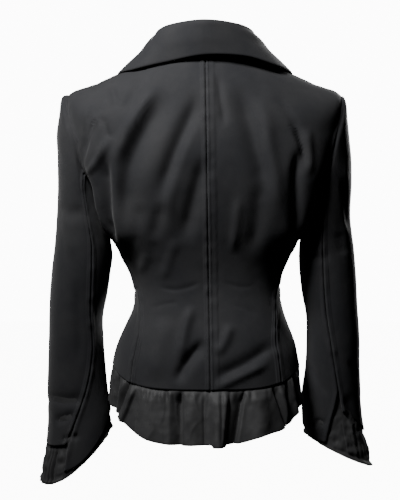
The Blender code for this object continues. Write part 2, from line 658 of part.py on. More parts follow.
def collar_sections():
    """The collar's sections from the centre back to its front end: seam, fold, middle and edge points."""
    angles = [row.seam for row in COLLAR] + [COLLAR_END_ANGLE]
    angles, level = np.array(angles, float), np.full(len(angles), NECK)
    seam = trunk(angles, level)
    seam += unit(seam - trunk(angles, level - STEP)) * (GAP + COLLAR_CLOTH / 2)
    folds = [(row.fold_x, row.fold_y, row.fold_z) for row in COLLAR]
    middles = [(row.mid_x, row.mid_y, row.mid_z) for row in COLLAR]
    edges = [(row.edge_x, row.edge_y, row.edge_z) for row in COLLAR]
    lifts = np.array([LAPEL_LIFT + LAPEL_ROLL, LAPEL_LIFT + 0.001, LAPEL_LIFT])
    ends = np.array([GORGE_TOP, GORGE_LOW, COLLAR_POINT])
    fold, middle, edge = on_front(1, ends[:, 0], ends[:, 1] + GAP, lifts)
    return seam, np.array([*folds, fold]), np.array([*middles, middle]), np.array([*edges, edge])


def end_to_end(column):
    """A column of the collar's points from its left end, round the back, to its right end."""
    return np.concatenate([column[:0:-1] * (-1, 1, 1), column])


def build_collar(name, material):
    places = np.linspace(0, 2 * len(COLLAR), COLLAR_COLUMNS + 1)
    seam, fold, middle, edge = (smooth_rows(end_to_end(column), places) for column in collar_sections())
    away = edge - fold
    away[:, 2] = 0
    away = unit(away)
    up = np.array([0, 0, 1.0])
    rows = [
        seam,
        lerp(seam, fold, 0.5),
        lerp(seam, fold, 0.92),
        fold + away * COLLAR_ROLL + up * 0.0015,
        fold + away * 2 * COLLAR_ROLL - up * 0.003,
        lerp(fold + away * 2 * COLLAR_ROLL, middle, 0.5) + up * 0.001,
        middle,
        lerp(middle, edge, 0.5) + up * 0.001,
        edge,
    ]
    points = np.array(rows)
    return wall(name, points, grid_normals(points), COLLAR_CLOTH, material)


def build_lapel(side, name, material):
    """A lapel lies over its front from the roll line out. The left one stops at the right front's edge."""
    up = np.linspace(0.03, 1, LAPEL_ROWS + 1)[:, None]
    out = np.linspace(0, 1, LAPEL_COLUMNS + 1)[None, :]
    inner_z = lerp(BREAK_Z, GORGE_TOP[1], up)
    inner_x = roll_x(inner_z)
    if side < 0:
        inner_x = np.maximum(inner_x, 0.003 - inner_x)
    foot_x = inner_x[0, 0] + LAPEL_FOOT
    outer_x = (1 - up) ** 2 * foot_x + 2 * up * (1 - up) * LAPEL_BELLY[0] + up**2 * LAPEL_POINT[0]
    outer_z = (1 - up) ** 2 * BREAK_Z + 2 * up * (1 - up) * LAPEL_BELLY[1] + up**2 * LAPEL_POINT[1]
    x = lerp(inner_x, outer_x, out)
    z = lerp(inner_z, outer_z, out)
    turn = np.clip(out / 0.5, 0, 1)
    rest = np.clip((out - 0.5) / 0.5, 0, 1)
    gorge_x = lerp(lerp(GORGE_TOP[0], GORGE_LOW[0], turn), LAPEL_POINT[0], rest)
    gorge_z = lerp(lerp(GORGE_TOP[1], GORGE_LOW[1], turn), LAPEL_POINT[1], rest)
    x = x + (gorge_x - lerp(GORGE_TOP[0], LAPEL_POINT[0], out)) * up**3
    z = z + (gorge_z - lerp(GORGE_TOP[1], LAPEL_POINT[1], out)) * up**3
    lift = LAPEL_LIFT + LAPEL_ROLL * (1 - out) ** 2 * ease(up / 0.3)
    points = on_front(side, x, z, lift)
    return wall(name, points, -side * grid_normals(points), CLOTH, material)


def build_button(number, level, material):
    """A disc with a raised rim on the right front, turned to face along the front's normal."""
    angle, at = np.array([180.0]), np.array([level])
    outward = trunk_normals(angle, at)
    base = lapped(1, trunk(angle, at), outward)[0] + outward[0] * (CLOTH / 2 + BUTTON_GAP)
    profile = [(0.0, 0.0), (0.80, 0.0), (1.0, 0.25), (1.0, 0.80), (0.88, 1.0), (0.72, 0.80), (0.0, 0.80)]
    steps = 20
    across = unit(np.cross(outward[0], [0, 0, 1.0]))
    upward = np.cross(across, outward[0])
    points, faces = [base], []
    for reach, height in profile[1:-1]:
        for k in range(steps):
            turn = 2 * math.pi * k / steps
            ring = across * math.cos(turn) + upward * math.sin(turn)
            points.append(base + ring * reach * BUTTON_RADIUS + outward[0] * height * BUTTON_THICK)
    points.append(base + outward[0] * profile[-1][1] * BUTTON_THICK)
    last = len(points) - 1
    for k in range(steps):
        following = (k + 1) % steps
        faces.append((0, 1 + following, 1 + k))
        for ring in range(len(profile) - 3):
            a, b = 1 + ring * steps + k, 1 + ring * steps + following
            faces.append((a, b, b + steps, a + steps))
        top = 1 + (len(profile) - 3) * steps
        faces.append((top + k, top + following, last))
    points = np.array(points)
    if signed_volume(points, faces) < 0:
        faces = [tuple(reversed(face)) for face in faces]
    return add_mesh(f"button_{number}", points, faces, material)


def main():
    remove_all()
    collection = bpy.data.collections.new("blazer")
    bpy.context.scene.collection.children.link(collection)
    cloth = make_material("black_cloth", (0.022, 0.022, 0.024), 0.75)
    satin = make_material("black_satin", (0.035, 0.035, 0.037), 0.42)
    button = make_material("black_button", (0.012, 0.012, 0.012), 0.3)
    for side, word in ((1, "right"), (-1, "left")):
        build_back(side, f"back_{word}", cloth)
        build_side(side, f"side_{word}", cloth)
        build_front(side, f"front_{word}", cloth)
        build_lapel(side, f"lapel_{word}", cloth)
        build_sleeve(side, f"sleeve_upper_{word}", f"sleeve_under_{word}", cloth)
        build_cuff(side, f"cuff_{word}", satin)
    build_collar("collar", cloth)
    build_ruffle("hem_ruffle", satin)
    for number, level in enumerate(BUTTON_LEVELS, 1):
        build_button(number, level, button)


main()
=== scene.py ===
"""The looks of a woman's short fitted blazer: black cloth, a satin hem ruffle and satin cuffs.

Metres, +Z up, +Y towards the wearer's front and +X to the wearer's right, as in the frame. The picture looks
along +Y. The trunk's and the sleeves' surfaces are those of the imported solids. Each piece is drawn on them
again as a fine wall of cloth, with the creases, the seams and the gathers that the solids leave out.
"""

import itertools
import math
from collections import namedtuple

import bpy
import numpy as np
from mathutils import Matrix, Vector


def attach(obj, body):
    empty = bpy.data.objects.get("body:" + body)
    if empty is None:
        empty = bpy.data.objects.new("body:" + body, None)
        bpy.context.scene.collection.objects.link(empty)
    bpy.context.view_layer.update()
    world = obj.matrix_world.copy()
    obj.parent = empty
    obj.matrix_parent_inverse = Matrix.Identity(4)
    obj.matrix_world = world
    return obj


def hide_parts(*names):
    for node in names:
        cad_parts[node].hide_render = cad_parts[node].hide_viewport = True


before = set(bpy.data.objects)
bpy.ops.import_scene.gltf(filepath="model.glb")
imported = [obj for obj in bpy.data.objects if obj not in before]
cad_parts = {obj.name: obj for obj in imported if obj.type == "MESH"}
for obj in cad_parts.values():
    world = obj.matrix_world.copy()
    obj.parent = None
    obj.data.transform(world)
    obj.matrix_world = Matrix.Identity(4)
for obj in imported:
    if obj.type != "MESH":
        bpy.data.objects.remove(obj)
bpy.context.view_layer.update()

BODY = "root"

# The camera stands level behind the back, at the photograph's distance.
CAMERA_PLACE = (-0.0075, -2.0, -0.291)
CAMERA_LENS = 96.0
CAMERA_SENSOR = 36.0
FLOOR_Z = -1.15
FLOOR_HALF = 14.0
SURROUND_SEEN = 12.0
SURROUND_LIGHT = 0.0045

# Thicknesses of the walls, and the gap at a seam, where the cloth meets with a hair's overlap.
CLOTH = 0.0016
SATIN = 0.0010
COLLAR_CLOTH = 0.0026
GAP = -0.0002

# Steps by which a surface's normals are found, in degrees round it and in rows along it.
TURN_STEP = 0.5
ROW_STEP = 0.02

# The flat cloth that each kind of piece is cut from, and how it is held.
Sheet = namedtuple("Sheet", "width length held")

# Rings round the trunk, from the hem up to the neck. Heights are at the centre back, the side and the centre
# front, the three reaches are from the trunk's middle to the side, the back and the front, square is how far
# the ring fills out its corners, and shift is how far its middle stands to the wearer's right.
Level = namedtuple("Level", "z_back z_side z_front half_width back front square shift")
TRUNK = [
    Level(-0.4900, -0.4560, -0.4540, 0.1385, 0.1110, 0.1080, 0.20, 0.0010),
    Level(-0.4560, -0.4310, -0.4300, 0.1330, 0.1050, 0.1050, 0.20, 0.0015),
    Level(-0.4200, -0.4040, -0.4030, 0.1220, 0.0950, 0.1005, 0.20, 0.0025),
    Level(-0.3840, -0.3780, -0.3775, 0.1115, 0.0845, 0.0965, 0.20, 0.0040),
    Level(-0.3530, -0.3520, -0.3520, 0.1090, 0.0790, 0.0960, 0.20, 0.0030),
    Level(-0.3250, -0.3250, -0.3250, 0.1140, 0.0800, 0.1020, 0.20, 0.0015),
    Level(-0.2970, -0.2970, -0.2970, 0.1255, 0.0850, 0.1130, 0.30, 0.0010),
    Level(-0.2650, -0.2650, -0.2650, 0.1400, 0.0920, 0.1270, 0.80, 0.0000),
    Level(-0.2320, -0.2320, -0.2320, 0.1450, 0.0980, 0.1340, 1.00, 0.0000),
    Level(-0.1970, -0.1970, -0.1980, 0.1510, 0.1030, 0.1290, 1.00, 0.0000),
    Level(-0.1650, -0.1550, -0.1660, 0.1850, 0.1050, 0.1150, 0.50, 0.0000),
    Level(-0.1330, -0.1080, -0.1380, 0.2040, 0.1035, 0.0980, 0.25, 0.0000),
    Level(-0.1040, -0.0625, -0.1150, 0.2030, 0.0990, 0.0840, 0.20, 0.0000),
    Level(-0.0750, -0.0430, -0.0980, 0.1580, 0.0915, 0.0720, 0.20, 0.0000),
    Level(-0.0440, -0.0215, -0.0820, 0.1130, 0.0800, 0.0620, 0.20, 0.0000),
    Level(-0.0160, 0.0000, -0.0680, 0.0720, 0.0660, 0.0550, 0.20, 0.0000),
]

# How far every ring fills out its corners in depth, and the rows of the shoulder tip and the neck.
DEPTH_SQUARE = 0.18
SHOULDER_TIP = 12.0
NECK = 15.0

# The armhole is an oval round the shoulder tip and the underarm; its clock runs from 0 at the tip, over the
# back at 90, to the underarm at 180. Its middle and half height are in rows of the trunk, and the long seams
# end on it at the row JUNCTION.
ARM_MIDDLE = 10.30
ARM_HALF = SHOULDER_TIP - ARM_MIDDLE
ARM_BACK_DEGREES = 31.0
ARM_FRONT_DEGREES = 30.0
JUNCTION = 9.0
JUNCTION_CLOCK = math.degrees(math.acos((JUNCTION - ARM_MIDDLE) / ARM_HALF))

# Angles of the two long seams on each side, at each level from the hem up to the armhole. The centre back
# seam leans to the wearer's right by CENTRE_LEAN of its depth below the neck.
BACK_SEAM = [45.0, 45.5, 47.5, 55.0, 60.5, 70.5, 79.0, 80.0, 76.0]
FRONT_SEAM = [119.0, 118.0, 117.0, 115.0, 114.0, 114.0, 114.0, 114.0, 113.0]
CENTRE_LEAN = 0.0155

# The fronts cross by twice OVERLAP at the centre, and part at the break of the lapel.
OVERLAP = 0.018
LAP = 0.0014
LAP_FROM = 0.060
LAP_TO = 0.025
BREAK_Z = -0.2685
ROLL_SLOPE = 0.331

# The fullness of the bust on each side: its place in the front view, how far it spreads and how far it stands
# out, and how sharply it ends at the sides.
Bust = namedtuple("Bust", "x z spread height")
BUST = Bust(0.078, -0.232, 0.045, 0.0070)
BUST_FADE = 3

# Sections of a sleeve from the armhole down: its outer and inner points in the front view, and its reach
# towards the back and the front. The two sleeves hang differently.
Section = namedtuple("Section", "outer_x outer_z inner_x inner_z back front")
RIGHT_SLEEVE = [
    Section(0.2030, -0.0625, 0.1470, -0.2110, -0.058, 0.060),
    Section(0.2075, -0.0640, 0.1510, -0.2085, -0.0575, 0.0600),
    Section(0.2100, -0.0725, 0.1530, -0.2140, -0.0590, 0.0615),
    Section(0.2115, -0.0900, 0.1520, -0.2260, -0.0600, 0.0630),
    Section(0.2145, -0.1200, 0.1495, -0.2400, -0.0595, 0.0630),
    Section(0.2180, -0.1570, 0.1465, -0.2570, -0.058, 0.062),
    Section(0.2185, -0.1970, 0.1430, -0.2780, -0.056, 0.060),
    Section(0.2175, -0.2400, 0.1415, -0.3020, -0.053, 0.059),
    Section(0.2225, -0.2830, 0.1430, -0.3280, -0.050, 0.058),
    Section(0.2260, -0.3270, 0.1465, -0.3570, -0.047, 0.058),
    Section(0.2280, -0.3720, 0.1530, -0.3900, -0.044, 0.059),
    Section(0.2315, -0.4170, 0.1540, -0.4270, -0.041, 0.061),
    Section(0.2325, -0.4620, 0.1525, -0.4650, -0.038, 0.064),
    Section(0.2340, -0.5070, 0.1476, -0.5020, -0.036, 0.067),
    Section(0.2380, -0.5500, 0.1470, -0.5370, -0.036, 0.070),
    Section(0.2460, -0.5880, 0.1500, -0.5680, -0.038, 0.074),
    Section(0.2510, -0.6240, 0.1550, -0.5980, -0.041, 0.078),
    Section(0.2550, -0.6600, 0.1600, -0.6280, -0.044, 0.081),
]
LEFT_SLEEVE = [
    Section(0.2030, -0.0625, 0.1470, -0.2110, -0.058, 0.060),
    Section(0.2095, -0.0600, 0.1510, -0.2085, -0.0575, 0.0600),
    Section(0.2140, -0.0660, 0.1530, -0.2140, -0.0590, 0.0615),
    Section(0.2165, -0.0860, 0.1520, -0.2260, -0.0600, 0.0630),
    Section(0.2205, -0.1150, 0.1495, -0.2400, -0.0595, 0.0630),
    Section(0.2195, -0.1530, 0.1465, -0.2570, -0.058, 0.062),
    Section(0.2195, -0.1930, 0.1425, -0.2780, -0.056, 0.060),
    Section(0.2215, -0.2370, 0.1400, -0.3020, -0.053, 0.059),
    Section(0.2250, -0.2800, 0.1430, -0.3280, -0.050, 0.058),
    Section(0.2295, -0.3250, 0.1475, -0.3570, -0.047, 0.058),
    Section(0.2325, -0.3700, 0.1540, -0.3900, -0.044, 0.059),
    Section(0.2340, -0.4160, 0.1535, -0.4270, -0.041, 0.061),
    Section(0.2355, -0.4610, 0.1510, -0.4650, -0.038, 0.064),
    Section(0.2370, -0.5060, 0.1475, -0.5020, -0.036, 0.067),
    Section(0.2360, -0.5480, 0.1425, -0.5370, -0.036, 0.070),
    Section(0.2395, -0.5860, 0.1415, -0.5680, -0.038, 0.074),
    Section(0.2455, -0.6230, 0.1440, -0.6000, -0.040, 0.076),
    Section(0.2500, -0.6600, 0.1480, -0.6320, -0.042, 0.078),
]
SLEEVES = {1: RIGHT_SLEEVE, -1: LEFT_SLEEVE}

# How far a sleeve fills out its corners, the section by which it has left the armhole's shape, and the clocks
# of its two seams, the back one at each section.
SLEEVE_SQUARE = 0.10
SLEEVE_SETTLES = 8.0
SLEEVE_BACK_SEAM = {
    1: [133.3, 124, 117, 112, 108, 105, 103, 101, 103, 105, 107, 101, 92, 82, 80, 79, 78, 77],
    -1: [133.3, 125, 118, 113, 109, 107, 106.5, 110, 113.5, 118, 125, 129, 122, 108, 89, 77, 75, 74],
}
SLEEVE_FRONT_SEAM = 226.7

# The gap on each side of a sleeve's seams, and the one between its top and the armhole's cloth.
SLEEVE_GAP_DEGREES = -0.1
ARMHOLE_GAP = 0.0003

# Where the cloth of each sleeve ends, as sections from the armhole: at its outer point, on both sides of the
# back seam, at its inner point and its front. The seam opens below vent_top, by so many degrees each way.
Cuff = namedtuple("Cuff", "outer upper_seam under_seam inner front vent_top vent_upper vent_under")
CUFFS = {
    1: Cuff(14.35, 13.60, 15.05, 14.55, 14.3, 12.85, 4.0, 33.0),
    -1: Cuff(14.85, 14.85, 16.05, 13.90, 14.3, 13.20, 2.0, 2.0),
}

# The satin cuff runs inside the sleeve from above the vent and reaches past the cloth.
CUFF_TOP = 12.0
CUFF_INSET = 0.0023
CUFF_SEAM_INSET = 0.0033
CuffReach = namedtuple("CuffReach", "outer seam inner front")
CUFF_REACH = {1: CuffReach(15.75, 15.45, 14.95, 15.2), -1: CuffReach(16.30, 16.25, 14.70, 15.3)}

# A fold of satin: the angle at its seam, the half width in degrees, the height, how far the fold leans, in
# degrees, by the lower edge, and how much steeper its flank at the smaller angles is.
Pleat = namedtuple("Pleat", "angle width height lean steep")

# Folds of each cuff, at the clock of its sleeve.
CUFF_PLEATS = {
    1: [
        Pleat(-60, 12, 0.0012, 4, 0.2), Pleat(-20, 9, -0.0014, 3, 0.0), Pleat(24, 7, 0.0016, -8, 0.0),
        Pleat(48, 5, -0.0022, 10, 0.3), Pleat(66, 6, 0.0024, -6, -0.3), Pleat(88, 5, -0.0016, 8, 0.0),
        Pleat(120, 9, 0.0012, 0, 0.0), Pleat(160, 8, -0.0014, 3, 0.0), Pleat(205, 12, 0.0012, 0, 0.0),
        Pleat(250, 10, -0.0012, 2, 0.0),
    ],
    -1: [
        Pleat(-40, 6.0, 0.0014, 3, 0.0), Pleat(-20, 4.0, -0.0018, 2, 0.3), Pleat(-4, 5.0, 0.0016, 1, 0.0),
        Pleat(10, 3.0, -0.0020, 0, 0.3), Pleat(20, 3.5, 0.0020, 0, 0.0), Pleat(29, 2.4, -0.0026, 0, 0.0),
        Pleat(35, 2.2, 0.0022, 0, 0.0), Pleat(40, 2.0, -0.0034, 1, 0.3), Pleat(44.5, 1.8, 0.0024, 1, 0.0),
        Pleat(48.5, 1.6, -0.0036, 0, 0.3), Pleat(52, 1.8, 0.0024, 0, 0.0), Pleat(57, 2.4, -0.0044, 0, -0.3),
        Pleat(66, 5.0, 0.0022, 0, 0.0), Pleat(80, 4.0, -0.0014, 4, 0.0),
        Pleat(150, 7.0, 0.0014, 0, 0.0), Pleat(165, 5.0, -0.0018, 3, 0.2), Pleat(200, 9.0, 0.0012, 0, 0.0),
        Pleat(235, 8.0, -0.0016, 2, 0.0),
    ],
}

# Folds of the hem ruffle.
PLEATS = [
    Pleat(-166, 6.0, 0.0050, 2, 0.0), Pleat(-159, 1.6, -0.0030, 1, 0.3), Pleat(-153, 3.0, -0.0050, -2, -0.4),
    Pleat(-144, 6.0, 0.0055, 1, 0.2), Pleat(-136, 1.5, 0.0025, 3, 0.3), Pleat(-131, 3.4, -0.0060, 3, 0.4),
    Pleat(-121, 5.0, 0.0050, -2, -0.3), Pleat(-115, 1.4, -0.0020, -1, 0.0), Pleat(-110, 3.2, -0.0040, 0, 0.4),
    Pleat(-98, 5.0, 0.0025, 2, 0.0), Pleat(-91, 1.5, -0.0020, 2, 0.0), Pleat(-84, 3.0, -0.0045, 0, -0.3),
    Pleat(-76, 2.6, 0.0045, -2, 0.3), Pleat(-70, 1.3, -0.0035, 3, 0.0), Pleat(-65, 2.4, 0.0045, -2, -0.3),
    Pleat(-59, 2.2, -0.0060, -3, 0.3), Pleat(-52, 2.6, 0.0030, -4, 0.0), Pleat(-46, 1.8, -0.0065, -9, -0.4),
    Pleat(-40, 2.4, 0.0060, -9, -0.5), Pleat(-29, 7.0, 0.0035, 0, 0.0), Pleat(-18, 1.6, 0.0015, 0, 0.0),
    Pleat(-12.6, 2.1, -0.0108, 0.5, -0.5), Pleat(-6.5, 3.4, 0.0034, 0, 0.0),
    Pleat(-1.0, 0.7, -0.0026, 0.5, -0.3), Pleat(3.5, 2.4, 0.0034, 1, 0.3),
    Pleat(7.6, 0.8, -0.0020, -0.5, 0.0), Pleat(10.6, 3.4, 0.0085, -3.5, -0.7),
    Pleat(19.5, 1.9, -0.0082, -5.5, -0.7), Pleat(28, 6.0, 0.0070, 0, 0.0),
    Pleat(37.5, 1.5, -0.0072, 8.5, 0.4), Pleat(43, 2.6, 0.0048, 5, 0.0),
    Pleat(50, 1.6, -0.0050, -2, 0.4), Pleat(55, 2.8, 0.0045, 3, 0.0), Pleat(60.5, 1.4, -0.0045, 2, -0.3),
    Pleat(67, 3.6, 0.0045, 3, 0.0), Pleat(72, 1.2, -0.0020, 0, 0.0), Pleat(79, 3.2, -0.0055, 1, 0.3),
    Pleat(92, 5.0, 0.0020, 0, 0.0), Pleat(99, 1.4, -0.0020, -2, 0.0), Pleat(105, 3.4, -0.0055, -2, -0.3),
    Pleat(117, 6.0, 0.0050, 2, 0.2), Pleat(124, 1.5, 0.0022, 2, 0.0), Pleat(130, 3.4, -0.0060, -3, -0.4),
    Pleat(142, 6.0, 0.0055, 0, 0.2), Pleat(148, 1.4, -0.0020, 1, 0.0), Pleat(154, 3.0, -0.0050, 2, 0.3),
    Pleat(164, 5.0, 0.0040, -1, 0.0),
]
# The ruffle's depth at each 15 degrees all round, from the front edge on the wearer's left.
RUFFLE_DEPTHS = [
    0.0650, 0.0650, 0.0650, 0.0640, 0.0600, 0.0560, 0.0530, 0.0540, 0.0520, 0.0600, 0.0715, 0.0765, 0.0755,
    0.0740, 0.0650, 0.0640, 0.0530, 0.0520, 0.0530, 0.0560, 0.0600, 0.0640, 0.0650, 0.0650, 0.0650, 0.0650,
]
# At each 15 degrees from the centre back to the centre front: how far the ruffle's edge stands out past its
# seam, and the strength of its folds.
Hang = namedtuple("Hang", "flare strength")
RUFFLE_HANG = [
    Hang(0.0160, 1.00), Hang(0.0155, 1.00), Hang(0.0140, 1.00), Hang(0.0105, 1.00), Hang(0.0080, 0.90),
    Hang(0.0055, 0.60), Hang(0.0010, 0.15), Hang(0.0010, 0.15), Hang(0.0040, 0.60), Hang(0.0080, 1.00),
    Hang(0.0100, 1.00), Hang(0.0100, 1.00), Hang(0.0100, 1.00), Hang(0.0100, 1.00),
]
# Folded strips of the ruffle that hang lower than their neighbours, from one angle to another.
Strip = namedtuple("Strip", "start end longer")
LOWER_STRIPS = [Strip(2.5, 9.0, 0.0035), Strip(-128.0, -121.0, 0.0030), Strip(117.0, 125.0, 0.0030)]

# The ruffle's upper edge is tucked up behind the hem, so far up and so far in.
RUFFLE_TUCK = 0.0045
RUFFLE_INSET = 0.0015

# The collar: the angle of its seam on the neck, its fold, the middle of its fall and its edge.
Collar = namedtuple("Collar", "seam fold_x fold_y fold_z mid_x mid_y mid_z edge_x edge_y edge_z")
COLLAR = [
    Collar(0, 0.0000, -0.0690, 0.0403, 0.0000, -0.0765, 0.0150, 0.0000, -0.0758, -0.0092),
    Collar(34, 0.0430, -0.0570, 0.0368, 0.0530, -0.0655, 0.0130, 0.0605, -0.0690, -0.0148),
    Collar(64, 0.0650, -0.0280, 0.0325, 0.0845, -0.0400, 0.0080, 0.1040, -0.0505, -0.0240),
    Collar(90, 0.0710, 0.0040, 0.0265, 0.1000, 0.0000, 0.0010, 0.1300, -0.0040, -0.0265),
    Collar(104, 0.0725, 0.0250, 0.0130, 0.1020, 0.0360, -0.0140, 0.1320, 0.0380, -0.0370),
]
# The collar sits a little askew: how much higher its edge is on the wearer's right than the table says, and
# lower and nearer the back on the left, at each section from the centre back.
COLLAR_TILT = [0.0, 0.0040, 0.0022, 0.0005, 0.0, 0.0]
COLLAR_LEANS_IN = [0.0010, 0.0070, 0.0035, 0.0, 0.0, 0.0]

# The collar's fold, the fullness of its fall, how far below the neck and inside the cloth its seam lies, and
# the angle at which its seam ends.
COLLAR_ROLL = 0.0030
COLLAR_BULGE = 0.001
COLLAR_SEAT = 0.10
COLLAR_INSIDE = 0.55
COLLAR_END_ANGLE = 111.0

# Points of the collar's end and the lapel in the front view, on the wearer's right, how wide the lapel's foot
# is, how far the lapel is lifted, and where the left lapel meets the right one.
GORGE_TOP = (0.0665, -0.0165)
GORGE_LOW = (0.1000, -0.0660)
GORGE_GAP = 0.0004
COLLAR_POINT = (0.1340, -0.0560)
LAPEL_POINT = (0.1370, -0.0900)
LAPEL_BELLY = (0.0620, -0.2300)
LAPEL_FOOT = 0.0060
LAPEL_LIFT = 0.0050
LAPEL_ROLL = 0.0030
LAPEL_MEETS = 0.003

BUTTON_COUNT = 3
BUTTON_RADIUS = 0.0095
BUTTON_THICK = 0.0032

